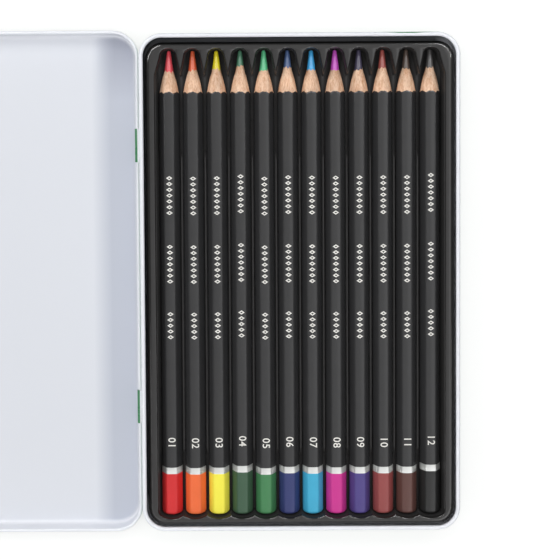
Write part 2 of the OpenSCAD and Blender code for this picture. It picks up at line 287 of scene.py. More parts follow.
def put(name, mesh, body, slot, *replaced):
    """Links a finished mesh and says what it rides on and stands for."""
    piece = working_object(name, mesh)
    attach(piece, body)
    if replaced:
        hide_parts(*replaced)
    return piece


def working_object(name, data):
    obj = bpy.data.objects.new(name, data)
    bpy.context.scene.collection.objects.link(obj)
    return obj


def evaluated(obj):
    """The object's mesh with its modifiers, as plain data, and the object removed."""
    graph = bpy.context.evaluated_depsgraph_get()
    mesh = bpy.data.meshes.new_from_object(obj.evaluated_get(graph), depsgraph=graph)
    data = obj.data
    bpy.data.objects.remove(obj)
    if isinstance(data, bpy.types.Mesh) and not data.users:
        bpy.data.meshes.remove(data)
    return mesh


def smooth_by_angle(mesh, degrees):
    """Smooth shading, with the edges that turn more than this kept sharp."""
    mesh.polygons.foreach_set("use_smooth", [True] * len(mesh.polygons))
    mesh.set_sharp_from_angle(angle=math.radians(degrees))
    mesh.update()


class Shape:
    """Collects rings of points and the faces between them."""

    def __init__(self):
        self.points, self.faces, self.indices = [], [], []

    def ring(self, points):
        start = sum(len(p) for p in self.points)
        self.points.append(np.asarray(points, float))
        return range(start, start + len(points))

    def join(self, a, b, material=0):
        """Faces between two closed rings of one size."""
        n = len(a)
        for k in range(n):
            m = (k + 1) % n
            self.faces.append((a[k], a[m], b[m], b[k]))
            self.indices.append(material)

    def cap(self, ring, centre, material=0, flip=False):
        """Closes a ring with a fan of triangles."""
        pole = self.ring([centre])[0]
        n = len(ring)
        for k in range(n):
            a, b = ring[k], ring[(k + 1) % n]
            self.faces.append((b, a, pole) if flip else (a, b, pole))
            self.indices.append(material)

    def tube(self, rings, first, last):
        """Joins rings, each with its material, one after another between two poles."""
        previous = self.ring(rings[0][0])
        self.cap(previous, first, rings[0][1])
        for points, material in rings[1:]:
            following = self.ring(points)
            self.join(previous, following, material)
            previous = following
        self.cap(previous, last, rings[-1][1], flip=True)

    def mesh(self, name, materials, sharp, weld=0.0):
        """A smooth mesh from the points, which are in millimetres. Edges over the sharp
        angle are kept, points within the weld are merged and faces are turned outwards."""
        mesh = bpy.data.meshes.new(name)
        mesh.from_pydata((np.concatenate(self.points) * MM).tolist(), [], self.faces)
        for material in materials:
            mesh.materials.append(material)
        mesh.polygons.foreach_set("material_index", self.indices)
        smooth_by_angle(mesh, sharp)
        bm = bmesh.new()
        bm.from_mesh(mesh)
        if weld:
            bmesh.ops.remove_doubles(bm, verts=bm.verts, dist=weld)
        bmesh.ops.recalc_face_normals(bm, faces=bm.faces)
        bm.to_mesh(mesh)
        bm.free()
        return mesh


def smooth_step(t):
    t = np.clip(t, 0, 1)
    return t * t * (3 - 2 * t)


def soft_min(a, b, k):
    """The lower of two heights, rounded over k where they cross."""
    h = np.clip(0.5 + 0.5 * (b - a) / k, 0, 1)
    return b + (a - b) * h - k * h * (1 - h)


def outside_box(x, y, half_x, half_y, r):
    """Distance out of a rounded rectangle about the middle; negative inside."""
    qx, qy = np.abs(x) - half_x + r, np.abs(y) - half_y + r
    return (np.hypot(np.maximum(qx, 0), np.maximum(qy, 0))
            + np.minimum(np.maximum(qx, qy), 0) - r)


def arc(cx, cy, r, start, end, steps):
    """Points along an arc, in degrees."""
    turns = np.radians(np.linspace(start, end, steps + 1))
    return [(cx + r * math.cos(t), cy + r * math.sin(t)) for t in turns]


# ---------------------------------------------------------------- shader helpers

def linear(rgb):
    """Display colour to the linear colour a shader takes."""
    return [c / 12.92 if c <= 0.04045 else ((c + 0.055) / 1.055) ** 2.4 for c in rgb] + [1.0]


def add(tree, kind, inputs=None, **settings):
    """A node with its settings, and with its inputs set or linked by name or number."""
    node = tree.nodes.new(kind)
    for key, value in settings.items():
        setattr(node, key, value)
    for key, value in (inputs or {}).items():
        if isinstance(value, bpy.types.NodeSocket):
            tree.links.new(value, node.inputs[key])
        else:
            node.inputs[key].default_value = value
    return node


def math_node(tree, operation, a, b=0.0, c=0.0):
    return add(tree, "ShaderNodeMath", {0: a, 1: b, 2: c}, operation=operation).outputs[0]


def folded(tree, operation, first, *others):
    """Several values taken together, such as multiplied, or the greatest of them."""
    for value in others:
        first = math_node(tree, operation, first, value)
    return first


def noise(tree, place, scale, detail=2.0, **more):
    inputs = {"Vector": place, "Scale": scale, "Detail": detail, **more}
    return add(tree, "ShaderNodeTexNoise", inputs).outputs["Fac"]


def remap(tree, value, low, high, to_low=0.0, to_high=1.0):
    """A value between low and high brought between two others, and held there."""
    return add(tree, "ShaderNodeMapRange",
               {"Value": value, "From Min": low, "From Max": high,
                "To Min": to_low, "To Max": to_high}).outputs[0]


def stretched(tree, place, scale, turn=(0.0, 0.0, 0.0)):
    return add(tree, "ShaderNodeMapping",
               {"Vector": place, "Scale": scale, "Rotation": turn}).outputs[0]


def mixed(tree, mask, a, b):
    """Colour a where the mask is 0 and b where it is 1."""
    return add(tree, "ShaderNodeMix", {"Factor": mask, 6: a, 7: b},
               data_type="RGBA").outputs[2]


def band(tree, value, low, high, blur):
    """1 between two limits and 0 outside them, blurred; either limit may be None."""
    inside = []
    if low is not None:
        inside.append(math_node(tree, "SUBTRACT", value, low))
    if high is not None:
        inside.append(math_node(tree, "SUBTRACT", high, value))
    return folded(tree, "MULTIPLY", *(remap(tree, side, -blur, blur) for side in inside))


def past(tree, value, change, start=0.0):
    """1 past a paint's edge, which is measured from the start."""
    return band(tree, value, start + change[0], None, change[1])


def before(tree, value, change, start=0.0):
    """1 before a paint's edge, which is measured from the start."""
    return band(tree, value, None, start + change[0], change[1])


def effect(name, inputs, outputs, kind="ShaderNodeTree"):
    """An empty node group with named sockets and its end nodes, or three times None if it
    is there already. A socket is a label, a kind and maybe a plain value."""
    if name in bpy.data.node_groups:
        return None, None, None
    tree = bpy.data.node_groups.new(name, kind)
    for way, sockets in (("INPUT", inputs), ("OUTPUT", outputs)):
        for label, holds, *value in sockets:
            socket = tree.interface.new_socket(label, in_out=way,
                                               socket_type="NodeSocket" + holds)
            if value:
                socket.default_value = value[0]
    return tree, tree.nodes.new("NodeGroupInput").outputs, tree.nodes.new("NodeGroupOutput")


def uneven_tone():
    """Soft clouds that lighten and darken a colour a little."""
    name = "Uneven tone"
    tree, given, out = effect(name, [("Vector", "Vector"),
                                     ("Colour", "Color", (1, 1, 1, 1)),
                                     ("Size", "Float", 10 * MM), ("Amount", "Float", 0.05)],
                              [("Colour", "Color")])
    if tree:
        scale = math_node(tree, "DIVIDE", 1.0, given["Size"])
        clouds = noise(tree, given["Vector"], scale, 4.0)
        centred = math_node(tree, "SUBTRACT", clouds, 0.5)
        swing = math_node(tree, "MULTIPLY", centred, given["Amount"])
        value = math_node(tree, "MULTIPLY_ADD", swing, 2.0, 1.0)
        tone = add(tree, "ShaderNodeHueSaturation",
                   {"Value": value, "Color": given["Colour"]})
        tree.links.new(tone.outputs[0], out.inputs["Colour"])
    return bpy.data.node_groups[name]


def lacquer_skin():
    """Roughness that varies a little, and the fine orange peel of a sprayed coat."""
    name = "Lacquer skin"
    tree, given, out = effect(name, [("Vector", "Vector"), ("Size", "Float", MM),
                                     ("Roughness", "Float", 0.3), ("Spread", "Float", 0.1)],
                              [("Roughness", "Float"), ("Height", "Float")])
    if tree:
        scale = math_node(tree, "DIVIDE", 1.0, given["Size"])
        peel = noise(tree, given["Vector"], scale)
        coarse = math_node(tree, "MULTIPLY", scale, 0.12)
        clouds = noise(tree, given["Vector"], coarse, 5.0, Roughness=0.65)
        centred = math_node(tree, "SUBTRACT", clouds, 0.5)
        swing = math_node(tree, "MULTIPLY", centred, given["Spread"])
        rough = math_node(tree, "ADD", swing, given["Roughness"])
        tree.links.new(rough, out.inputs["Roughness"])
        tree.links.new(peel, out.inputs["Height"])
    return bpy.data.node_groups[name]


def fine_marks():
    """Sparse hairline scuffs from handling, as a mask."""
    name = "Fine marks"
    tree, given, out = effect(name, [("Vector", "Vector"), ("Size", "Float", 10 * MM)],
                              [("Mask", "Float")])
    if tree:
        scale = math_node(tree, "DIVIDE", 1.0, given["Size"])
        bend = noise(tree, given["Vector"], scale)
        lines = noise(tree, stretched(tree, given["Vector"], (1, 9, 1), (0.3, 0.2, 0.7)),
                      scale, 3.0)
        product = math_node(tree, "MULTIPLY", lines, bend)
        tree.links.new(remap(tree, product, 0.36, 0.44), out.inputs["Mask"])
    return bpy.data.node_groups[name]


def use(tree, group, inputs):
    return add(tree, "ShaderNodeGroup", inputs, node_tree=group)


# ---------------------------------------------------------------- finishes

def blank(name, **constants):
    """A material with a Principled BSDF, its plain values set, and object coordinates."""
    material = bpy.data.materials.new(name)
    material.use_nodes = True
    tree = material.node_tree
    surface = tree.nodes["Principled BSDF"]
    for key, value in constants.items():
        surface.inputs[key.replace("_", " ")].default_value = value
    place = tree.nodes.new("ShaderNodeTexCoord").outputs["Object"]
    return material, tree, surface, place


def dress(tree, surface, colour, roughness, height, depth, strength=1.0):
    """Feeds a surface its colour, its roughness and a bump of some depth."""
    tree.links.new(colour, surface.inputs["Base Color"])
    tree.links.new(roughness, surface.inputs["Roughness"])
    bump = add(tree, "ShaderNodeBump",
               {"Height": height, "Distance": depth, "Strength": strength})
    tree.links.new(bump.outputs[0], surface.inputs["Normal"])


def coated(name, colour, rough, tone=0.05, tone_size=20 * MM, peel_size=0.9 * MM,
           peel_depth=0.004 * MM, spread=0.12, marks=0.0, **constants):
    """A painted, lacquered or moulded finish built from the shared effects."""
    material, tree, surface, place = blank(name, **constants)
    tint = use(tree, uneven_tone(), {"Vector": place, "Colour": linear(colour),
                                     "Size": tone_size, "Amount": tone})
    skin = use(tree, lacquer_skin(), {"Vector": place, "Size": peel_size,
                                      "Roughness": rough, "Spread": spread})
    roughness = skin.outputs["Roughness"]
    if marks:
        scuff = use(tree, fine_marks(), {"Vector": place, "Size": 4 * MM})
        more = math_node(tree, "MULTIPLY", scuff.outputs["Mask"], marks)
        roughness = math_node(tree, "ADD", roughness, more)
    dress(tree, surface, tint.outputs["Colour"], roughness, skin.outputs["Height"],
          peel_depth)
    return material


def white_coat(name, colours):
    return coated(name, colours.white, 0.32, tone=0.03, tone_size=30 * MM, marks=0.12)


def opened(material):
    """What a second colour needs of a coated material: its tree, its surface, the colour
    it has, its object coordinates and these split along X, Y and Z."""
    tree = material.node_tree
    surface = tree.nodes["Principled BSDF"]
    place = next(n for n in tree.nodes if n.type == "TEX_COORD").outputs["Object"]
    xyz = add(tree, "ShaderNodeSeparateXYZ", {0: place}).outputs
    return tree, surface, surface.inputs["Base Color"].links[0].from_socket, place, xyz


def printed_green(name, colours, axis, low, high, edges=None):
    """Green print between two limits along an axis, over white lacquer. With the paints'
    edges given, its upper limit is uneven, lies higher on a stretch past the points and
    lower on the hinge side."""
    material = coated(name, colours.green, 0.28, tone=0.04, marks=0.03, Coat_Weight=0.25)
    tree, surface, green, place, xyz = opened(material)
    if edges:
        wobble = noise(tree, place, 1 / edges.wobble_l)
        uneven = math_node(tree, "MULTIPLY", wobble, edges.wobble_h)
        here = folded(tree, "MULTIPLY", past(tree, xyz["X"], edges.raised_from),
                      before(tree, xyz["X"], edges.raised_to),
                      past(tree, xyz["Y"], edges.raised_past))
        raised = math_node(tree, "MULTIPLY", here, edges.raised_by)
        behind = before(tree, xyz["X"], edges.rear, -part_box("base_tin")[1].x)
        lowered = math_node(tree, "MULTIPLY", behind, edges.rear_drop)
        high = folded(tree, "ADD", uneven, high, raised)
        high = math_node(tree, "SUBTRACT", high, lowered)
    mask = band(tree, xyz[axis], low, high, PRINT_BLUR)
    tree.links.new(mixed(tree, mask, linear(colours.white), green),
                   surface.inputs["Base Color"])
    return material


def base_finish(name, colours, edges):
    """White lacquer on the rim and the floor. The wall between them has grey painted shade, and
    so has the floor's edge on the left and past the points. The other two walls are white."""
    material = white_coat(name, colours)
    tree, surface, white, _, xyz = opened(material)
    rim = past(tree, xyz["Z"], edges.base_rim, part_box("base_tin")[1].z)
    floor = folded(tree, "MULTIPLY", before(tree, xyz["Z"], edges.floor_top),
                   before(tree, xyz["Y"], edges.floor_far),
                   past(tree, xyz["X"], edges.floor_left))
    # the parts left white; the rest of the base's inside gets the grey painted shade
    unshaded_white = folded(tree, "MAXIMUM", rim, floor, before(tree, xyz["Y"], edges.near_wall),
                   past(tree, xyz["X"], edges.front_wall))
    tree.links.new(mixed(tree, unshaded_white, linear(colours.well_grey), white),
                   surface.inputs["Base Color"])
    return material


def lid_finish(name, colours, edges):
    """White lacquer inside the lid, with painted shade along the hinge and painted shadow
    towards the upper corner.
    """
    material = white_coat(name, colours)
    tree, surface, white, _, xyz = opened(material)
    # painted shade along the hinge and painted shadow near the upper corner
    soft = past(tree, xyz["X"], edges.lid_soft)
    deep = math_node(tree, "MULTIPLY", past(tree, xyz["Y"], edges.lid_deep_past),
                     past(tree, xyz["X"], edges.lid_deep_from))
    panel = mixed(tree, soft, linear(colours.lid_pale), linear(colours.lid_soft))
    panel = mixed(tree, deep, panel, linear(colours.lid_deep))
    wall = past(tree, xyz["Z"], edges.lid_wall)
    tree.links.new(mixed(tree, wall, panel, white), surface.inputs["Base Color"])
    return material


def plastic_finish(name, colours, edges):
    """Glossy black plastic, duller down in the hollows, with a painted reflection along the
    shoulder past the dips and painted shade along the one past the points."""
    material = coated(name, colours.plastic, 0.1, tone=0.2, tone_size=4 * MM,
                      peel_size=1.6 * MM, peel_depth=0.01 * MM)
    tree, surface, black, _, xyz = opened(material)
    low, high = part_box("tray")
    hollow = before(tree, xyz["Z"], edges.hollow_top, high.z)
    dull = math_node(tree, "MULTIPLY", hollow, colours.hollow_dullness)
    gloss = surface.inputs["Roughness"].links[0].from_socket
    tree.links.new(math_node(tree, "ADD", gloss, dull), surface.inputs["Roughness"])
    # painted reflection along the near shoulder, painted shade along the far one
    near = before(tree, xyz["Y"], edges.near_shoulder, low.y)
    far = past(tree, xyz["Y"], edges.far_shoulder, high.y)
    tone = mixed(tree, near, black, linear(colours.plastic_pale))
    tree.links.new(mixed(tree, far, tone, linear(colours.plastic_deep)),
                   surface.inputs["Base Color"])
    return material


def wood_finish(name, colours, _):
    """Pale cedar cut along the grain, with fine dark streaks and soft bands."""
    material, tree, surface, place = blank(name)
    streaks = noise(tree, stretched(tree, place, (1, 0.05, 1)), 4.2 / MM, 4.0,
                    Roughness=0.6, Distortion=0.3)
    bands = noise(tree, stretched(tree, place, (1, 0.12, 1)), 0.9 / MM)
    wide = remap(tree, bands, 0.35, 0.7, 0.0, 0.55)
    grain = math_node(tree, "MULTIPLY_ADD", remap(tree, streaks, 0.4, 0.62), 0.5, wide)
    colour = mixed(tree, grain, linear(colours.wood_light), linear(colours.wood_dark))
    tint = use(tree, uneven_tone(), {"Vector": place, "Colour": colour, "Size": 12 * MM,
                                     "Amount": 0.5})
    dress(tree, surface, tint.outputs["Colour"], remap(tree, streaks, 0, 1, 0.55, 0.8),
          streaks, 0.03 * MM)
    return material


def lead_finish(name, colour):
    """Waxy coloured lead with the fine rings a sharpener leaves."""
    material, tree, surface, place = blank(name, Coat_Roughness=0.4)
    tint = use(tree, uneven_tone(), {"Vector": place, "Colour": linear(colour),
                                     "Size": 1.2 * MM, "Amount": 0.16})
    rings = add(tree, "ShaderNodeTexWave",
                {"Vector": place, "Scale": 0.9 / MM, "Distortion": 3.0, "Detail": 2.0},
                wave_type="BANDS", bands_direction="Y").outputs["Fac"]
    dress(tree, surface, tint.outputs["Colour"], remap(tree, rings, 0, 1, 0.34, 0.52),
          rings, 0.01 * MM, 0.6)
    return material


def foil_finish(name, colours, _):
    """Silver foil, brushed round the pencil."""
    material, tree, surface, place = blank(name, Metallic=0.6)
    tint = use(tree, uneven_tone(), {"Vector": place, "Colour": linear(colours.foil),
                                     "Size": 1.5 * MM, "Amount": 0.1})
    lines = noise(tree, stretched(tree, place, (0.05, 1, 0.05)), 6 / MM)
    dress(tree, surface, tint.outputs["Colour"], remap(tree, lines, 0, 1, 0.3, 0.5),
          lines, 0.008 * MM)
    return material


def barrel_finish(name, colours, _):
    return coated(name, colours.lacquer, 0.22, tone=0.08, tone_size=4 * MM,
                  Specular_IOR_Level=0.33)


def cut_finish(name, colours, _):
    return coated(name, colours.cut_edge, 0.6, tone=0.3, tone_size=0.6 * MM)


def ink_finish(name, colours, _):
    return coated(name, colours.ink, 0.45, tone=0.06, tone_size=MM)


def dip_finish(name, colour):
    """The thick coloured paint of a dipped end."""
    return coated(name, colour, 0.34, tone=0.06, tone_size=6 * MM, Specular_IOR_Level=0.26)


FINISHES = {"Base lacquer": base_finish, "Lid lacquer": lid_finish,
            "Formed plastic": plastic_finish, "Black lacquer": barrel_finish,
            "Cut lacquer": cut_finish, "Sharpened wood": wood_finish,
            "Silver foil": foil_finish, "White ink": ink_finish}


def finish(name, scene):
    """A finish that several pieces share, made the first time it is asked for."""
    if name not in bpy.data.materials:
        FINISHES[name](name, scene.finish_colours, scene.paint_edges)
    return bpy.data.materials[name]


# ---------------------------------------------------------------- geometry node trees

def end_tree(tree, geometry, material, out):
    """Realizes instances, sets the material and closes the tree."""
    real = add(tree, "GeometryNodeRealizeInstances", {0: geometry})
    painted = add(tree, "GeometryNodeSetMaterial", {"Geometry": real.outputs[0],
                                                    "Material": material})
    tree.links.new(painted.outputs[0], out.inputs[0])


GEOMETRY = ("Geometry", "Geometry")


def rim_sweep_tree():
    """Runs the section drawn in the object round a rounded rectangle. The section's x is
    the distance outwards from the path and its y the depth below it."""
    name = "Section round a rounded rectangle"
    tree, given, out = effect(name, [GEOMETRY, ("Width", "Float", 0.1),
                                     ("Length", "Float", 0.1),
                                     ("Corner radius", "Float", 0.01),
                                     ("Corner steps", "Int", 24), ("Material", "Material")],
                              [GEOMETRY], "GeometryNodeTree")
    if tree:
        path = add(tree, "GeometryNodeCurvePrimitiveQuadrilateral",
                   {"Width": given["Width"], "Height": given["Length"]}, mode="RECTANGLE")
        round_path = add(tree, "GeometryNodeFilletCurve",
                         {"Curve": path.outputs[0], "Radius": given["Corner radius"],
                          "Count": given["Corner steps"]}, mode="POLY")
        upright = add(tree, "GeometryNodeSetCurveNormal", {"Curve": round_path.outputs[0]},
                      mode="Z_UP")
        section = add(tree, "GeometryNodeMeshToCurve", {"Mesh": given["Geometry"]})
        swept = add(tree, "GeometryNodeCurveToMesh",
                    {"Curve": upright.outputs[0], "Profile Curve": section.outputs[0]})
        end_tree(tree, swept.outputs[0], given["Material"], out)
    return bpy.data.node_groups[name]


def row_tree():
    """Repeats the object's mesh in a row along Y."""
    name = "Row along the pencil"
    tree, given, out = effect(name, [GEOMETRY, ("Count", "Int", 7),
                                     ("Spacing", "Float", 0.002), ("Material", "Material")],
                              [GEOMETRY], "GeometryNodeTree")
    if tree:
        step = add(tree, "ShaderNodeCombineXYZ", {"Y": given["Spacing"]})
        line = add(tree, "GeometryNodeMeshLine",
                   {"Count": given["Count"], "Offset": step.outputs[0]}, mode="OFFSET")
        copies = add(tree, "GeometryNodeInstanceOnPoints",
                     {"Points": line.outputs[0], "Instance": given["Geometry"]})
        end_tree(tree, copies.outputs[0], given["Material"], out)
    return bpy.data.node_groups[name]


def run_tree(obj, tree, values):
    """The mesh that a tree makes from an object, with inputs given by their names."""
    modifier = obj.modifiers.new(tree.name, "NODES")
    modifier.node_group = tree
    for item in tree.interface.items_tree:
        if item.in_out == "INPUT" and item.name in values:
            modifier[item.identifier] = values[item.name]
    return evaluated(obj)


# ---------------------------------------------------------------- the tin

def section_object(name, outside, inside):
    """An open section as a wire, with its printed side marked. Points are (out, height)."""
    points = outside + inside
    mesh = bpy.data.meshes.new(name)
    mesh.from_pydata([(u * MM, -z * MM, 0) for u, z in points],
                     [(k, k + 1) for k in range(len(points) - 1)], [])
    mark = mesh.attributes.new("printed", "FLOAT", "POINT")
    mark.data.foreach_set("value", [1.0] * len(outside) + [0.0] * len(inside))
    return working_object(name, mesh)


def swept_sheet(name, section, width, length_, corner, steps, inner, printed):
    """Sweeps a section, closes its panel and paints the printed side."""
    mesh = run_tree(section, rim_sweep_tree(),
                    {"Width": width, "Length": length_, "Corner radius": corner,
                     "Corner steps": steps, "Material": inner})
    marks = np.zeros(len(mesh.vertices), np.float32)
    mesh.attributes["printed"].data.foreach_get("value", marks)
    mesh.materials.append(printed)
    bm = bmesh.new()
    bm.from_mesh(mesh)
    for face in bm.faces:
        face.material_index = int(all(marks[v.index] > 0.5 for v in face.verts))
    rim = [e for e in bm.edges if e.is_boundary]
    caps = bmesh.ops.holes_fill(bm, edges=rim, sides=0)["faces"]
    for cap in caps:
        cap.material_index = int(all(marks[v.index] > 0.5 for v in cap.verts))
    bmesh.ops.recalc_face_normals(bm, faces=bm.faces)
    bm.to_mesh(mesh)
    bm.free()
    mesh.attributes.remove(mesh.attributes["printed"])
    mesh.name = name
    return mesh


def box_cutter(boxes):
    """One mesh of closed boxes, each a centre and a size in metres."""
    bm = bmesh.new()
    for centre, size in boxes:
        matrix = Matrix.Translation(centre) @ Matrix.Diagonal((*size, 1))
        bmesh.ops.create_cube(bm, size=1, matrix=matrix)
    mesh = bpy.data.meshes.new("cutter")
    bm.to_mesh(mesh)
    bm.free()
    return mesh


def cut(mesh, boxes):
    """The mesh with boxes cut out of it, shaded smooth."""
    obj = working_object("work", mesh)
    cutter = working_object("cutter", box_cutter(boxes))
    modifier = obj.modifiers.new("Slots", "BOOLEAN")
    modifier.operation = "DIFFERENCE"
    modifier.solver = "EXACT"
    modifier.object = cutter
    result = evaluated(obj)
    bpy.data.objects.remove(cutter)
    smooth_by_angle(result, 40)
    return result


def joined(name, meshes):
    """Several meshes in one, with their materials kept."""
    objects = [working_object(name, m) for m in meshes]
    with bpy.context.temp_override(active_object=objects[0], object=objects[0],
                                   selected_editable_objects=objects,
                                   selected_objects=objects):
        bpy.ops.object.join()
    mesh = objects[0].data
    bpy.data.objects.remove(objects[0])
    mesh.name = name
    return mesh


class Tin:
    """Sizes of the tin in millimetres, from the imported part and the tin's own settings."""

    def __init__(self, sizes):
        low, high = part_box("base_tin")
        hinge = next(j for j in frame["joints"] if j["name"] == "lid_hinge")
        self.sheet, self.curl_r, self.bead_r = (sizes.sheet / MM, sizes.curl_r / MM,
                                                sizes.bead_r / MM)
        self.w, self.l, self.h = 2 * high.x / MM, (high.y - low.y) / MM, high.z / MM
        self.corner_r = sizes.corner_r / MM
        self.hinge_x, self.hinge_z = hinge["pos_m"][0] / MM, hinge["pos_m"][2] / MM
        gap = sizes.lid_gap / MM + self.sheet
        self.lid_w, self.lid_l = self.w + 2 * gap, self.l + 2 * gap
        self.lid_corner_r = self.corner_r + gap
        self.tongue_r = self.bead_r + sizes.tongue_play / MM
        self.root = sizes.lid_gap / MM + self.bead_r
        self.tongues = [(sizes.tongue_shift + side * sizes.tongue_pitch / 2) / MM
                        for side in (-1, 1)]
        self.wrap = sizes.tongue_wrap
        self.run = self.wrap * (self.tongue_r + self.sheet / 2) + self.root


LEDGE = 0.5    # flat strip inside a bend, so that the panel beside it shades flat


def base_section(tin, sizes):
    r, t, c = sizes.floor_bend_r / MM, tin.sheet, tin.curl_r
    turn, steps = math.degrees(sizes.curl_turn), 10
    outside = ([(-r - LEDGE, 0)] + arc(-r, r, r, -90, 0, 8)
               + arc(-c, tin.h - c, c, 0, 90, steps))
    inside = (arc(-c, tin.h - c, c, 90 + 90 / steps, turn, 20)
              + arc(-c, tin.h - c, c - t, turn, 0, 22)
              + arc(-r, r, r - t, 0, -90, 8) + [(-r - LEDGE, t)])
    return section_object("base section", outside, inside)


def lid_section(tin, sizes):
    r, t, b = sizes.lid_bend_r / MM, tin.sheet, tin.bead_r
    foot = 180 - math.degrees(sizes.bead_turn)
    outside = ([(-r - LEDGE, 0)] + arc(-r, r, r, -90, 0, 10)
               + arc(b - t, tin.hinge_z, b - t, 180, foot, 20))
    inside = (arc(b - t, tin.hinge_z, b, foot, 180, 28)
              + arc(-r, r, r - t, 0, -90, 10) + [(-r - LEDGE, t)])
    return section_object("lid section", outside, inside)


def tongue_mesh(tin, sizes, y, green, white):
    """A tongue curled round the bead, with its printed side outwards."""
    t, r = tin.sheet, tin.tongue_r
    wrap = math.degrees(tin.wrap)
    outer = [(tin.root + t, r + t)] + arc(0, 0, r + t, 90, 90 + wrap, 28)
    inner = arc(0, 0, r, 90 + wrap, 90, 28) + [(tin.root + t, r)]
    half = sizes.tongue_w / MM / 2
    easing, thinning = 0.12, 0.03
    strip = outer + inner
    shape = Shape()
    rings = []
    for side, depth in ((-1, 0), (-1, easing), (1, easing), (1, 0)):
        ring = []
        for k, (x, z) in enumerate(strip):
            thinner = thinning / math.hypot(x, z) if depth == 0 else 0.0
            pull = 1 - thinner if k < len(outer) else 1 + thinner
            ring.append((tin.hinge_x + x * pull, y + side * (half - depth),
                         tin.hinge_z + z * pull))
        rings.append(shape.ring(ring))
    for a, b in zip(rings, rings[1:]):
        for k in range(len(strip)):
            m = (k + 1) % len(strip)
            shape.faces.append((a[k], a[m], b[m], b[k]))
            shape.indices.append(0 if k < len(outer) - 1 else 1)
    shape.faces.append(tuple(rings[0])[::-1])
    shape.faces.append(tuple(rings[-1]))
    shape.indices += [1, 1]
    return shape.mesh("tongue", [green, white], 40)


class TIN_OT_base(bpy.types.Operator):
    """Make the tin's base: floor, wall, curled rim and the two hinge tongues"""
    bl_idname = "pencil_tin.base"
    bl_label = "Tin base"

    def execute(self, context):
        scene = context.scene
        sizes, colours, edges = scene.tin_sizes, scene.finish_colours, scene.paint_edges
        tin = Tin(sizes)
        white = finish("Base lacquer", scene)
        green = printed_green("Printed base", colours, "Z", None,
                              tin.h * MM - edges.print_drop, edges)
        # The tongue is green only round the bead; the white over its flat top next to the pin is
        # a painted highlight.
        strip = tin.hinge_x * MM - edges.tongue_print_gap
        tongue_print_and_highlight = printed_green("Printed tongue", colours, "X",
                                     strip - edges.tongue_print_w, strip)
        mesh = swept_sheet("base", base_section(tin, sizes), tin.w * MM, tin.l * MM,
                           tin.corner_r * MM, sizes.corner_steps, white, green)
        t = tin.sheet
        window = (4 * t * MM, sizes.tongue_w + 2 * sizes.lance_gap, tin.run * MM)
        middle = tin.hinge_z + tin.tongue_r - tin.run / 2
        mesh = cut(mesh, [(((-tin.w / 2 + t / 2) * MM, y * MM, middle * MM), window)
                          for y in tin.tongues])
        tongues = [tongue_mesh(tin, sizes, y, tongue_print_and_highlight, white) for y in tin.tongues]
        mesh = joined("base_shell", [mesh] + tongues)
        put("base_shell", mesh, "base", "lacquered_tin", "base_tin")
        return {"FINISHED"}


class TIN_OT_lid(bpy.types.Operator):
    """Make the lid: panel, soft bend, skirt with its two slots and the rolled bead"""
    bl_idname = "pencil_tin.lid"
    bl_label = "Lid"

    def execute(self, context):
        scene = context.scene
        sizes = scene.tin_sizes
        tin = Tin(sizes)
        white = finish("Lid lacquer", scene)
        green = printed_green("Printed lid", scene.finish_colours, "Z", None,
                              tin.hinge_z * MM - scene.paint_edges.lid_print_drop)
        mesh = swept_sheet("lid", lid_section(tin, sizes), tin.lid_w * MM, tin.lid_l * MM,
                           tin.lid_corner_r * MM, sizes.corner_steps, white, green)
        t = tin.sheet
        low, high = (tin.hinge_z - tin.tongue_r - t - sizes.slot_play / MM,
                     tin.hinge_z - tin.bead_r + sizes.slot_play / MM)
        size = (2 * t * MM, sizes.tongue_w + 2 * sizes.slot_room, (high - low) * MM)
        mesh = cut(mesh, [(((tin.lid_w / 2 - t / 2) * MM, y * MM, (low + high) / 2 * MM),
                           size) for y in tin.tongues])
        mesh.transform(Matrix.Translation((2 * tin.hinge_x * MM, 0, 0)))
        put("lid_shell", mesh, "lid", "lacquered_tin", "lid")
        return {"FINISHED"}


# ---------------------------------------------------------------- the tray

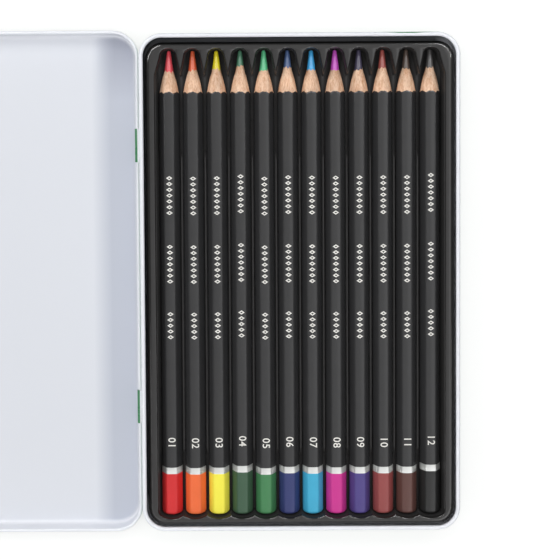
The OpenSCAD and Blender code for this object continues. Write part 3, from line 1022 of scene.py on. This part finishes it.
class Tray:
    """The formed sheet as heights over a plan, in millimetres about the tray's middle."""

    # lines of points across half a channel, as shares of its half width
    CELL = (-1, -0.975, -0.93, -0.86, -0.76, -0.62, -0.44, -0.22)
    # rows of points past a notch's wall, each with how far it follows the notch's curve
    NOTCH_ROWS = ((0, 1.0), (0.1, 1.0), (0.3, 1.0), (0.6, 1.0), (1.0, 0.9), (1.6, 0.7),
                  (2.4, 0.45), (3.4, 0.2), (4.6, 0.0))
    # rows of points where the channels start to narrow
    TAPER_ROWS = (-3, -1.7, -1.4, -1.1, -0.85, -0.6, -0.4, -0.2, -0.05, 0.05, 0.16, 0.3,
                  0.5, 0.8)
    # lines of points in the margin beside the outer channels, as shares of its width
    MARGIN = (0.2, 0.4, 0.6, 0.8, 0.94, 1)
    # least room between a line of points and the end of a recess, the next line, and the
    # middle of a ridge
    CLEAR, APART, RIDGE = 0.02, 0.005, 0.12
    # how far recesses and notches run into the channels, and the rounding where ridges
    # and channels meet
    OVERLAP, BLEND = 2, 0.15

    def __init__(self, sizes):
        low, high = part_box("tray")
        self.centre = ((low + high) / 2) / MM
        self.half_w, self.half_l = (high.x - low.x) / MM / 2, (high.y - low.y) / MM / 2
        self.foot, self.land = low.z / MM, high.z / MM
        for key in TraySizes.__annotations__:
            setattr(self, key, getattr(sizes, key) / MM)
        bodies = [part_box(s[0] + "_pencil_casing") for s in SHADES]
        middles = [(b[0].x + b[1].x) / 2 / MM for b in bodies]
        self.row_half = (middles[-1] - middles[0]) / 2
        self.pitch = 2 * self.row_half / (len(middles) - 1)
        self.well_half = self.row_half + self.channel_r + self.well_margin
        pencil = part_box(SHADES[0][0] + "_pencil_core")[1].y / MM - bodies[0][0].y / MM
        self.recess_half = pencil / 2 + self.end_play
        self.front = self.recess_half - self.taper_l
        self.back = self.well_end - self.recess_half
        self.point_y = self.recess_half - self.nose_r
        tin = bpy.context.scene.tin_sizes
        inside_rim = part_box("base_tin")[1].y / MM - 2 * tin.curl_r / MM
        self.corner_r = (tin.corner_r - 2 * tin.curl_r) / MM - (inside_rim - self.half_l) / 2
        self.bank = [self.draft + b for b in (0, 0.07, 0.2, 0.4, self.edge_r)]

    def across(self, x):
        """Distance from the nearest channel's middle."""
        k = np.clip(np.round((x + self.row_half) / self.pitch), 0, len(SHADES) - 1)
        return x - (k * self.pitch - self.row_half)

    def taper(self, y):
        """0 at the front end of the channels and 1 at the round end of a recess."""
        return np.clip((y - self.front) / (self.point_y - self.front), 0, 1)

    def half_width(self, y):
        """Half the width of a recess at y, past the front end of the channels."""
        side = self.channel_r + (self.nose_r - self.channel_r) * self.taper(y)
        past = np.clip(y - self.point_y, 0, self.nose_r)
        return np.where(y > self.point_y, np.sqrt(self.nose_r ** 2 - past ** 2), side)

    def outer_width(self, y):
        """The same on the outer side of the first and last recess, which meets the well."""
        return self.half_width(y) + self.well_margin * (1 - self.taper(y))

    def outside(self, x, y):
        """Distance out of the hollows' plan; negative inside."""
        dx = self.across(x)
        well = outside_box(x, y - (self.front + self.back) / 2, self.well_half,
                           (self.front - self.back) / 2, self.well_corner_r)
        slope = (self.channel_r - self.nose_r) / (self.point_y - self.front)
        level = np.minimum(y, self.point_y)
        half_here = np.where(np.abs(x) > self.row_half, self.outer_width(level),
                             self.half_width(level))
        side = (np.abs(dx) - half_here) / math.hypot(1, slope)
        nose = np.hypot(dx, y - self.point_y) - self.nose_r
        recess = np.where(y > self.point_y, nose,
                          np.where(y > self.front - self.OVERLAP, side, self.channel_r))
        notch = np.hypot(dx, y + self.recess_half - self.notch_r) - self.notch_r
        notch = np.where(y < self.back + self.OVERLAP,
                         np.maximum(notch, np.abs(dx) - self.channel_r), self.channel_r)
        return np.minimum(well, np.minimum(recess, notch))

    def height(self, x, y, e):
        """Height of the top (e = 0) or of the underside (e = the sheet's thickness)."""
        r = self.channel_r + e
        dx = np.minimum(np.abs(self.across(x)), r)
        channel = self.channel_z - np.sqrt(r * r - dx * dx)
        back, front = self.back + self.back_dip_l, self.front - self.front_dip_l
        high = smooth_step((y - back) / (2 * self.dip_ramp) + 0.5) * smooth_step(
            (front - y) / (2 * self.dip_ramp) + 0.5)
        drop = self.dip_drop + (self.ridge_drop - self.dip_drop) * high
        crown = self.dip_crown + (self.crown - self.dip_crown) * high
        foot = np.sqrt(self.channel_r ** 2 - (drop + crown) ** 2)
        off_crest = np.clip((self.pitch / 2 - dx) / (self.pitch / 2 - foot), 0, 1)
        ridge = self.channel_z - drop - e - crown * off_crest ** 1.2
        floor = soft_min(channel, ridge, self.BLEND)
        bank = np.clip((np.abs(x) - self.row_half - r) / self.well_margin, 0, 1)
        floor = floor + (self.land - e - self.edge_r - floor) * bank ** 1.5
        d = self.outside(x, y) - e
        edge = self.edge_r - e * 0.5
        lip = np.clip(edge - (d - self.draft), 0, edge)
        rounded = self.land - e - (edge - np.sqrt(np.maximum(edge ** 2 - lip ** 2, 0)))
        wall = np.clip(d / self.draft, 0, 1)
        rise = floor + (self.land - e - edge - floor) * wall
        z = np.where(d >= self.draft, rounded, rise)
        return z - self.shoulder_fall(x, y, e)

    def shoulder_fall(self, x, y, e):
        """How far the shoulder has dropped below the land."""
        out = outside_box(x, y, self.half_w, self.half_l, self.corner_r)
        r = self.shoulder_r - e
        past = np.clip(out + self.shoulder_r, 0, r * 0.999)
        return r - np.sqrt(r * r - past * past)

    def lines_across(self, y, e):
        """Places across the tray of one row of points, which follow the walls."""
        bank = self.bank
        stop = min(y, self.recess_half - self.CLEAR)
        hw = (np.maximum(self.half_width(stop), self.nose_r / 2) if y > self.front
              else self.channel_r)
        hw = min(float(hw) + e, self.pitch / 2 - self.RIDGE)
        squeeze = min(1.0, (self.pitch / 2 - hw) * 0.9 / bank[-1])
        inner = [f * hw for f in self.CELL]
        cell = ([-(hw + b * squeeze) for b in reversed(bank)] + inner + [0]
                + [-f for f in reversed(inner)] + [hw + b * squeeze for b in bank])
        xs = []
        for k in range(len(SHADES)):
            centre = k * self.pitch - self.row_half
            xs += [centre + c for c in cell] + [centre + self.pitch / 2]
        spare = len(bank)
        xs = xs[spare:-1 - spare]
        side = self.row_half + e + max(float(self.outer_width(stop)), self.nose_r / 2)
        last = xs[-1]
        margin = [last + (side - last) * f for f in self.MARGIN]
        margin = [max(m, last + self.APART * (i + 1)) for i, m in enumerate(margin)]
        margin += [margin[-1] + b for b in bank]
        return np.array([-m for m in reversed(margin)] + xs + margin)

    def lines_along(self):
        """Places along the tray of the rows, and how far each follows the notches."""
        rows = [(self.back - self.well_end - b, 1.0) for b in reversed(self.bank)]
        rows += [(self.back - self.well_end + b, w) for b, w in self.NOTCH_ROWS]
        for middle in (self.back + self.back_dip_l, self.front - self.front_dip_l):
            rows += [(middle + f * self.dip_ramp, 0.0) for f in np.linspace(-1.1, 1.1, 13)]
        rows.append((0.0, 0.0))
        rows += [(self.front + b, 0.0) for b in self.TAPER_ROWS]
        turns = [self.front + 1.3, self.point_y, self.recess_half - 0.8,
                 self.recess_half + self.bank[-1]]
        rows += [(turns[0], 0.0)]
        for start, stop, count in zip(turns, turns[1:], (9, 9, 15)):
            rows += [(y, 0.0) for y in np.linspace(start, stop, count)[1:]]
        return sorted(rows)

    def surface(self, e):
        """The grid of points of one side of the sheet."""
        grid = []
        for y0, follow in self.lines_along():
            x = self.lines_across(y0, e)
            dx = np.minimum(np.abs(self.across(x)), self.channel_r)
            notch = self.notch_r - np.sqrt(self.notch_r ** 2 - dx * dx)
            inside = np.abs(x) < self.row_half + self.channel_r
            notch = np.where(inside, notch, self.well_end)
            y = y0 + follow * np.minimum(notch, self.well_end)
            grid.append(np.stack([x, y, self.height(x, y, e)], -1))
        return np.array(grid)

    def skirt(self, ring, e, foot):
        """Rings from the grid's border over the shoulder and down to the foot."""
        cx, cy = self.half_w - self.corner_r, self.half_l - self.corner_r
        r = self.shoulder_r - e
        xy, sign = np.abs(ring[:, :2]), np.sign(ring[:, :2])
        q = xy - (cx, cy)
        corner = (q[:, 0] > 0) & (q[:, 1] > 0)
        on_side = ~corner & (q[:, 0] - self.corner_r > q[:, 1] - self.corner_r)
        norm = np.maximum(np.hypot(q[:, 0], q[:, 1]), 1e-9)
        direction = np.where(corner[:, None], q / norm[:, None],
                             np.where(on_side[:, None], (1.0, 0.0), (0.0, 1.0)))
        beside = np.stack([np.full(len(q), cx), xy[:, 1]], -1)
        ahead = np.stack([xy[:, 0], np.full(len(q), cy)], -1)
        origin = np.where(corner[:, None], (cx, cy),
                          np.where(on_side[:, None], beside, ahead))
        reach = np.einsum("ij,ij->i", xy - origin, direction)
        start = np.arcsin(np.clip((reach - self.corner_r + self.shoulder_r) / r, 0, 1))
        rings = []
        for f in np.linspace(0, 1, 9):
            turn = start + (math.pi / 2 - start) * f
            out = self.corner_r - self.shoulder_r + r * np.sin(turn)
            place = (origin + direction * out[:, None]) * sign
            z = self.land - e - r * (1 - np.cos(turn))
            rings.append(np.column_stack([place, z]))
        low = rings[-1].copy()
        low[:, 2] = foot
        return rings + [low]

    def mesh(self, material):
        shape = Shape()
        ends = []
        for e in (0.0, self.sheet):
            grid = self.surface(e)
            rows, columns = grid.shape[:2]
            start = shape.ring(grid.reshape(-1, 3))[0]
            index = start + np.arange(rows * columns).reshape(rows, columns)
            a, b = index[:-1, :-1].ravel(), index[:-1, 1:].ravel()
            c, d = index[1:, 1:].ravel(), index[1:, :-1].ravel()
            quads = np.stack([a, b, c, d] if e == 0 else [a, d, c, b], -1)
            shape.faces += quads.tolist()
            shape.indices += [0] * len(quads)
            border = np.concatenate([index[0, :], index[1:, -1], index[-1, -2::-1],
                                     index[-2:0:-1, 0]])
            flat = grid.reshape(-1, 3)[border - start]
            ring = list(border)
            for level in self.skirt(flat, e, self.foot):
                following = list(shape.ring(level))
                if e == 0:
                    shape.join(following, ring)
                else:
                    shape.join(ring, following)
                ring = following
            ends.append(ring)
        shape.join(ends[1], ends[0])
        mesh = shape.mesh("tray_sheet", [material], 60, weld=MM / 1000)
        mesh.transform(Matrix.Translation((self.centre.x * MM, self.centre.y * MM, 0)))
        smooth_by_angle(mesh, 55)
        return mesh


class TIN_OT_tray(bpy.types.Operator):
    """Make the formed tray: channels, finger dips, notches, point recesses and skirt"""
    bl_idname = "pencil_tin.tray"
    bl_label = "Tray"

    def execute(self, context):
        tray = Tray(context.scene.tray_sizes)
        material = finish("Formed plastic", context.scene)
        put("tray_sheet", tray.mesh(material), "tray", "formed_plastic", "tray")
        return {"FINISHED"}


# ---------------------------------------------------------------- the pencils

class Pencil:
    """Outline of one pencil in millimetres; a is the distance from its back end."""

    TEETH = 14
    # shares of the barrel's radius: the rings of the domed end and the start and bend of
    # the rounding at its edge
    DOME_RINGS, ROUND_FROM, ROUND_BEND = (0.15, 0.35, 0.55, 0.72), 0.82, 0.99
    # in millimetres: thinning of the dip at its edge and its length, height of the cut
    # lacquer over the wood and its width
    THIN, THIN_L, CUT_H, CUT_L = 0.008, 0.12, 0.05, 0.17
    # where the bore starts, and its room round the lead
    BORE_FROM, BORE_ROOM = 0.6, 0.02

    def __init__(self, sizes, item, seed):
        for key in PencilSizes.__annotations__:
            value = getattr(sizes, key)
            setattr(self, key, value if key == "belly" else value / MM)
        low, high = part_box(item.body + "_casing")
        self.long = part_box(item.body + "_core")[1].y / MM - low.y / MM
        self.x, self.z = (low.x + high.x) / 2 / MM, (low.z + high.z) / 2 / MM
        self.y = low.y / MM
        self.shown, self.ring_shift = item.shown / MM, item.ring_shift / MM
        self.number = seed
        random.seed(seed)
        self.lean = random.uniform(0, TAU)
        flat, corner, sector = self.flats / 2, self.corners / 2, TAU / HEX
        sharp = flat / math.cos(sector / 2)
        edge = (sharp - corner) / (1 / math.cos(sector / 2) - 1)
        centre = corner - edge
        reach = math.atan2(edge * math.sin(sector / 2),
                           centre + edge * math.cos(sector / 2))
        across = [*np.linspace(-1, 1, 13) * (sector / 2 - reach),
                  *(sector / 2 + np.array([-0.5, 0, 0.5]) * reach)]
        self.turn = np.concatenate([np.array(across) + k * sector for k in range(HEX)])
        off = np.abs((self.turn + sector / 2) % sector - sector / 2)
        away = np.minimum(sector / 2 - off, reach)
        rounded = centre * np.cos(away) + np.sqrt(edge ** 2 - (centre * np.sin(away)) ** 2)
        hollow = self.bulge * np.minimum(off / (sector / 2 - reach), 1) ** 2
        self.radius = np.where(off > sector / 2 - reach, rounded, flat / np.cos(off)) - hollow

    def jagged(self, height, teeth):
        """Uneven teeth round the pencil; their number is even."""
        knots = [(1 - 2 * (k % 2)) * random.uniform(0.15, 1) * height for k in range(teeth)]
        place = (self.turn + self.lean) % TAU / TAU * teeth
        k = place.astype(int) % teeth
        f = place - np.floor(place)
        a, b = np.array(knots)[k], np.array(knots)[(k + 1) % teeth]
        return a + (b - a) * f

    def profile(self, d):
        """Radius of the sharpened end at the distance d from the point."""
        rounded = np.sqrt(np.maximum(self.tip_r ** 2 - np.maximum(self.tip_r - d, 0) ** 2, 0))
        cone = self.tip_r + (self.lead_r - self.tip_r) * (d - self.tip_r) / (
            self.lead_l - self.tip_r)
        t = (d - self.lead_l) / self.wood_l
        swell = self.lead_r + (self.flats / 2 - self.lead_r) * t * (
            1 + self.belly * (1 - t))
        return np.where(d < self.tip_r, rounded, np.where(d < self.lead_l, cone, swell))

    def at(self, radius, a):
        """A ring of points for radius and place along the pencil, per spoke."""
        radius = np.broadcast_to(radius, self.turn.shape)
        a = np.broadcast_to(a, self.turn.shape)
        return np.column_stack([self.x + radius * np.sin(self.turn), self.y + a,
                                self.z + radius * np.cos(self.turn)])

    def lead_edge(self):
        """Where the lead meets the wood: a little askew and uneven."""
        random.seed(self.number)
        return (self.long - self.shown + 0.2 * np.cos(self.turn - self.lean)
                + self.jagged(0.55, self.TEETH))

    def rod_r(self):
        return float(self.profile(self.long - self.lead_edge()).min()) - 0.03

    def paint_edge(self, place):
        """A dipped edge, which climbs a little along the sides."""
        side = np.sin(self.turn) ** 2 * np.sign(np.maximum(np.cos(self.turn) + 0.3, 0))
        return place + self.ring_shift + self.smile * side

    def casing(self, dip, foil, lacquer, edge, wood):
        shape = Shape()
        r, painted = self.radius, self.radius + self.coat
        ball = (painted.max() ** 2 + self.dome_h ** 2) / (2 * self.dome_h)

        def dome(radius):
            return ball - np.sqrt(ball ** 2 - radius ** 2)

        rings = [(self.at(painted * f, dome(painted * f)), 0) for f in self.DOME_RINGS]
        turning = painted * self.ROUND_FROM
        start = np.column_stack([turning, dome(turning)])
        corner = np.column_stack([painted * self.ROUND_BEND, dome(painted)])
        stop = np.column_stack([painted, dome(painted) + self.dome_edge])
        for t in np.linspace(0, 1, 7):
            curve = (1 - t) ** 2 * start + 2 * t * (1 - t) * corner + t * t * stop
            rings.append((self.at(curve[:, 0], curve[:, 1]), 0))
        dip_edge = self.paint_edge(self.dip_l)
        ring_edge = self.paint_edge(self.dip_l + self.ring_w)
        foil_r = r + self.coat * 0.4
        rings += [(self.at(painted, dip_edge - self.THIN_L), 0),
                  (self.at(painted - self.THIN, dip_edge), 0),
                  (self.at(foil_r, dip_edge + 0.02), 1),
                  (self.at(foil_r, ring_edge - 0.05), 1), (self.at(r, ring_edge), 1)]
        lead_edge = self.lead_edge()
        collar = self.long - self.lead_l - self.wood_l
        bulge = (r - self.flats / 2) / (self.corners / 2 - self.flats / 2)
        scallop = collar - self.flare_l * bulge + self.jagged(0.12, 2 * self.TEETH)
        first = r - self.CUT_H - 0.45 * self.CUT_L * bulge
        wood_edge = scallop + self.CUT_L
        rings += [(self.at(r, scallop - 0.4), 2), (self.at(r - 0.01, scallop - 0.08), 2),
                  (self.at(r - self.CUT_H, scallop), 2), (self.at(first, wood_edge), 3)]
        over = first - self.profile(self.long - wood_edge)
        fading = 0.12
        for t in (0.05, fading, 0.22, 0.34, 0.48, 0.62, 0.76, 0.89, 1.0):
            a = wood_edge * (1 - t) + lead_edge * t
            fade = np.clip(1 - t / fading, 0, 1)
            rings.append((self.at(self.profile(self.long - a) + over * fade, a), 4))
        bore = self.rod_r() + self.BORE_ROOM
        rings += [(self.at(bore, lead_edge - 0.05), 4), (self.at(bore, self.BORE_FROM), 4)]
        shape.tube(rings, (self.x, self.y, self.z),
                   (self.x, self.y + self.BORE_FROM, self.z))
        return shape.mesh("casing", [dip, foil, lacquer, edge, wood], 38)

    def lead(self, material):
        shape = Shape()
        edge = self.lead_edge()
        rod, start = self.rod_r(), self.BORE_FROM + self.BORE_ROOM
        rings = [self.at(rod * 0.8, start), self.at(rod, 0.9), self.at(rod, edge - 0.4),
                 self.at(self.profile(self.long - edge) - 0.004, edge)]
        for t in (0.12, 0.3, 0.5, 0.7, 0.88, 1.0):
            a = edge * (1 - t) + (self.long - self.tip_r) * t
            rings.append(self.at(self.profile(self.long - a), a))
        for turn in (15, 30, 45, 60, 75):
            d = self.tip_r * (1 - math.sin(math.radians(turn)))
            rings.append(self.at(self.tip_r * math.cos(math.radians(turn)), self.long - d))
        shape.tube([(points, 0) for points in rings], (self.x, self.y + start, self.z),
                   (self.x, self.y + self.long, self.z))
        return shape.mesh("lead", [material], 50)


class TIN_OT_pencils(bpy.types.Operator):
    """Make the twelve pencils: lacquered casing with ring and dip, and coloured lead"""
    bl_idname = "pencil_tin.pencils"
    bl_label = "Pencils"

    def execute(self, context):
        scene = context.scene
        foil, lacquer, edge, wood = (
            finish(name, scene)
            for name in ("Silver foil", "Black lacquer", "Cut lacquer", "Sharpened wood"))
        for seed, item in enumerate(scene.pencil_shades):
            pencil = Pencil(scene.pencil_sizes, item, seed)
            name = item.body
            dip = dip_finish("Dip " + item.number, item.dip)
            lead = lead_finish("Lead " + item.number, item.lead)
            put(name + "_wood", pencil.casing(dip, foil, lacquer, edge, wood), name,
                "lacquered_wood", name + "_casing")
            put(name + "_lead", pencil.lead(lead), name, name[:-len("_pencil")] + "_core",
                name + "_core")
        return {"FINISHED"}


def number_mesh(text, height, ink):
    """A printed number as a thin mesh about its own middle."""
    digit_share = 0.7
    curve = bpy.data.curves.new("digits", "FONT")
    curve.body = text
    curve.size = height / digit_share
    curve.align_x, curve.align_y = "RIGHT", "CENTER"
    curve.extrude = INK_H
    curve.space_character = 1.08
    curve.offset = 0.03 * MM
    curve.resolution_u = 4
    curve.materials.append(ink)
    mesh = evaluated(working_object("digits", curve))
    bpy.data.curves.remove(curve)
    return mesh


def lozenge_mesh(long, wide):
    """An outlined lozenge as a thin closed mesh."""
    shape = Shape()
    inner, half = 0.42, INK_H / MM
    corners = np.array([(0, 0.5), (0.5, 0), (0, -0.5), (-0.5, 0)])
    size = np.array([wide, long]) / MM
    rings = []
    for scale, z in ((1, -half), (1, half), (inner, half), (inner, -half)):
        flat = corners * size * scale
        rings.append(shape.ring(np.column_stack([flat, np.full(4, z)])))
    for a, b in zip(rings, rings[1:] + rings[:1]):
        shape.join(a, b)
    return shape.mesh("lozenge", [], 30)


class TIN_OT_print(bpy.types.Operator):
    """Print a number and rows of plain lozenges on each pencil's top flat"""
    bl_idname = "pencil_tin.print"
    bl_label = "Printing"

    # rows of lozenges: distance of the first one from the back end in mm, and their number
    ROWS = ((67.1, 5), (87.9, 7), (113.4, 7))

    def execute(self, context):
        scene = context.scene
        sizes = scene.pencil_sizes
        ink = finish("White ink", scene)
        quarter = Matrix.Rotation(-math.pi / 2, 4, "Z")
        for seed, item in enumerate(scene.pencil_shades):
            pencil = Pencil(sizes, item, seed)
            top = (pencil.z + pencil.flats / 2) * MM + INK_H
            foot = Vector((pencil.x * MM, (pencil.y + pencil.ring_shift) * MM, top))
            digits = number_mesh(item.number, sizes.digit_h, ink)
            digits.transform(Matrix.Translation(foot + Vector((0, sizes.print_l, 0))) @ quarter)
            meshes = [digits]
            for start, count in self.ROWS:
                mark = working_object("mark", lozenge_mesh(sizes.mark_l, sizes.mark_w))
                row = run_tree(mark, row_tree(), {"Count": count, "Material": ink,
                                                  "Spacing": sizes.mark_pitch})
                row.transform(Matrix.Translation(foot + Vector((0, start * MM, 0))))
                meshes.append(row)
            put(item.body + "_print", joined(item.body + "_print", meshes), item.body,
                "lacquered_wood")
        return {"FINISHED"}


# ---------------------------------------------------------------- the stage

def lamp(name, power, size, place):
    """A rectangular lamp turned towards the middle of the tin."""
    data = bpy.data.lights.new(name, "AREA")
    data.shape, data.size, data.size_y, data.energy = "RECTANGLE", *size, power
    obj = working_object(name, data)
    obj.location = place
    obj.rotation_euler = (-Vector(place)).to_track_quat("-Z", "Y").to_euler()
    return obj


def seen_directly(tree):
    """1 for rays from the camera, from a reflection or through glass, else 0."""
    path = tree.nodes.new("ShaderNodeLightPath").outputs
    one = math_node(tree, "MAXIMUM", path["Is Camera Ray"], path["Is Glossy Ray"])
    return math_node(tree, "MAXIMUM", one, path["Is Transmission Ray"])


def stepped(tree, value, steps):
    """A value from -1 to 1 turned into the brightness that is listed for its place."""
    most = max(level for _, level in steps)
    half = math_node(tree, "MULTIPLY_ADD", value, 0.5, 0.5)
    node = add(tree, "ShaderNodeValToRGB", {"Fac": half})
    stops = node.color_ramp.elements
    stops[0].position, stops[1].position = 0, 1
    for place, _ in steps[1:-1]:
        stops.new((place + 1) / 2)
    for stop, (_, level) in zip(stops, steps):
        stop.color = (level / most, level / most, level / most, 1)
    return math_node(tree, "MULTIPLY", node.outputs["Color"], most)


class TIN_OT_stage(bpy.types.Operator):
    """Set up the white floor, soft studio light and the camera above the tin"""
    bl_idname = "pencil_tin.stage"
    bl_label = "Stage"

    # brightness of the studio that reflections see: place from left to right, level
    ACROSS = ((-1, 0.1), (-0.42, 0.1), (-0.2, 0.95), (0.02, 1.06), (0.16, 1.15),
              (0.22, 2.1), (0.34, 2.1), (0.44, 0.15), (1, 0.1))
    # and place from the dips to the points, factor
    ALONG = ((-1, 2.4), (-0.85, 2), (-0.5, 1.1), (-0.2, 1), (0.3, 1), (0.55, 0.7),
             (0.85, 0.2), (1, 0.1))
    # soft lamps: name, setting with the power, size and place
    LAMPS = (("Top lamp", "top", (0.5, 0.5), (0, 0.05, 1)),
             ("Far lamp", "far", (1.2, 0.5), (0.1, 0.75, 0.95)),
             ("Near lamp", "near", (1.2, 0.5), (-0.1, -0.85, 0.6)),
             ("Right lamp", "right", (1.2, 0.5), (0.85, 0.1, 0.65)),
             ("Left lamp", "left", (1.2, 0.5), (-0.85, 0.1, 0.65)))
    # strip lamps at the corners, which only reflections show: place and share of the power
    CORNERS = ((-0.5, 0.5, 1.1), (0.5, 0.5, 1), (-0.5, -0.5, 0.15), (0.5, -0.5, 0.15))

    def execute(self, context):
        scene, stage = context.scene, context.scene.stage_settings
        self.floor()
        self.sky(scene, stage)
        for name, key, size, place in self.LAMPS:
            lamp(name, getattr(stage, key), size, place).visible_glossy = False
        for x, y, part in self.CORNERS:
            glint = lamp("Corner lamp", stage.sparkle * part, (0.8, 0.05), (x, y, 0.98))
            glint.visible_diffuse = False
        camera = bpy.data.cameras.new("Camera")
        camera.lens, camera.sensor_width = stage.lens, 36
        camera.shift_x, camera.shift_y = stage.shift
        camera.clip_start, camera.clip_end = 0.01, 10
        eye = working_object("Camera", camera)
        eye.location, eye.rotation_euler = stage.eye, stage.tilt
        scene.camera = eye
        scene.view_settings.view_transform = "Standard"
        return {"FINISHED"}

    def floor(self):
        """A white floor just under the tin, open from below."""
        mesh = bpy.data.meshes.new("floor")
        reach, z, own_light = 3.0, -0.05 * MM, 0.64
        mesh.from_pydata([(-reach, -reach, z), (reach, -reach, z), (reach, reach, z),
                          (-reach, reach, z)], [], [(0, 1, 2, 3)])
        material, tree, surface, place = blank("Floor", Roughness=0.7)
        surface.inputs["Specular IOR Level"].default_value = 0.1
        tint = use(tree, uneven_tone(), {"Vector": place, "Colour": (0.45, 0.45, 0.45, 1),
                                         "Size": 0.5, "Amount": 0.01})
        tree.links.new(tint.outputs["Colour"], surface.inputs["Base Color"])
        glow = math_node(tree, "MULTIPLY", seen_directly(tree), own_light)
        lit = add(tree, "ShaderNodeEmission", {"Color": (1, 1, 1, 1), "Strength": glow})
        both = add(tree, "ShaderNodeAddShader", {0: surface.outputs[0], 1: lit.outputs[0]})
        back = tree.nodes.new("ShaderNodeNewGeometry").outputs["Backfacing"]
        clear = add(tree, "ShaderNodeBsdfTransparent")
        shown = add(tree, "ShaderNodeMixShader",
                    {0: back, 1: both.outputs[0], 2: clear.outputs[0]})
        tree.links.new(shown.outputs[0], tree.nodes["Material Output"].inputs[0])
        mesh.materials.append(material)
        working_object("floor", mesh)

    def sky(self, scene, stage):
        """Even light all round. The camera sees plain white, and reflections see a studio
        that is dark past the points and on the left, and bright past the dips."""
        world = scene.world or bpy.data.worlds.new("World")
        scene.world = world
        world.use_nodes = True
        tree = world.node_tree
        even = tree.nodes["Background"]
        even.inputs["Color"].default_value = (1, 1, 1, 1)
        even.inputs["Strength"].default_value = stage.sky
        way = add(tree, "ShaderNodeSeparateXYZ",
                  {0: tree.nodes.new("ShaderNodeTexCoord").outputs["Generated"]}).outputs
        across = stepped(tree, way["X"], self.ACROSS)
        along = stepped(tree, way["Y"], self.ALONG)
        seen = math_node(tree, "MULTIPLY", across, along)
        studio = add(tree, "ShaderNodeBackground", {"Color": (1, 1, 1, 1), "Strength": seen})
        white = add(tree, "ShaderNodeBackground", {"Color": (1, 1, 1, 1), "Strength": 1.0})
        path = tree.nodes.new("ShaderNodeLightPath").outputs
        glossy = add(tree, "ShaderNodeMixShader",
                     {0: path["Is Glossy Ray"], 1: even.outputs[0], 2: studio.outputs[0]})
        through = math_node(tree, "MAXIMUM", path["Is Camera Ray"],
                            path["Is Transmission Ray"])
        mix = add(tree, "ShaderNodeMixShader",
                  {0: through, 1: glossy.outputs[0], 2: white.outputs[0]})
        tree.links.new(mix.outputs[0], tree.nodes["World Output"].inputs[0])


# ---------------------------------------------------------------- panel and running

class TIN_PT_panel(bpy.types.Panel):
    """Lists the steps that make the tin"""
    bl_label = "Colour pencil tin"
    bl_space_type = "VIEW_3D"
    bl_region_type = "UI"
    bl_category = "Pencil tin"

    def draw(self, context):
        for step in STEPS:
            self.layout.operator(step.bl_idname)
        for key in SETTINGS:
            box = self.layout.box()
            settings = getattr(context.scene, key)
            for name in type(settings).__annotations__:
                box.prop(settings, name)


STEPS = (TIN_OT_base, TIN_OT_lid, TIN_OT_tray, TIN_OT_pencils, TIN_OT_print, TIN_OT_stage)
SETTINGS = {"tin_sizes": TinSizes, "tray_sizes": TraySizes, "pencil_sizes": PencilSizes,
            "finish_colours": FinishColours, "paint_edges": PaintEdges,
            "stage_settings": StageSettings}
CLASSES = (*SETTINGS.values(), PencilShade, *STEPS, TIN_PT_panel)


def register():
    for cls in CLASSES:
        bpy.utils.register_class(cls)
    for key, cls in SETTINGS.items():
        setattr(bpy.types.Scene, key, PointerProperty(type=cls))
    bpy.types.Scene.pencil_shades = CollectionProperty(type=PencilShade)


def unregister():
    del bpy.types.Scene.pencil_shades
    for key in SETTINGS:
        delattr(bpy.types.Scene, key)
    for cls in reversed(CLASSES):
        bpy.utils.unregister_class(cls)


def list_shades(scene):
    """Fills the scene's list of pencils from the table above."""
    scene.pencil_shades.clear()
    for k, (name, dip, lead, shown, shift) in enumerate(SHADES):
        item = scene.pencil_shades.add()
        item.body, item.number = name + "_pencil", f"{k + 1:02d}"
        item.dip = [c / 255 for c in dip]
        item.lead = [c / 255 for c in lead]
        item.shown, item.ring_shift = shown * MM, shift * MM


def main():
    register()
    list_shades(bpy.context.scene)
    for step in STEPS:
        group, name = step.bl_idname.split(".")
        getattr(getattr(bpy.ops, group), name)()


if __name__ == "__main__":
    main()
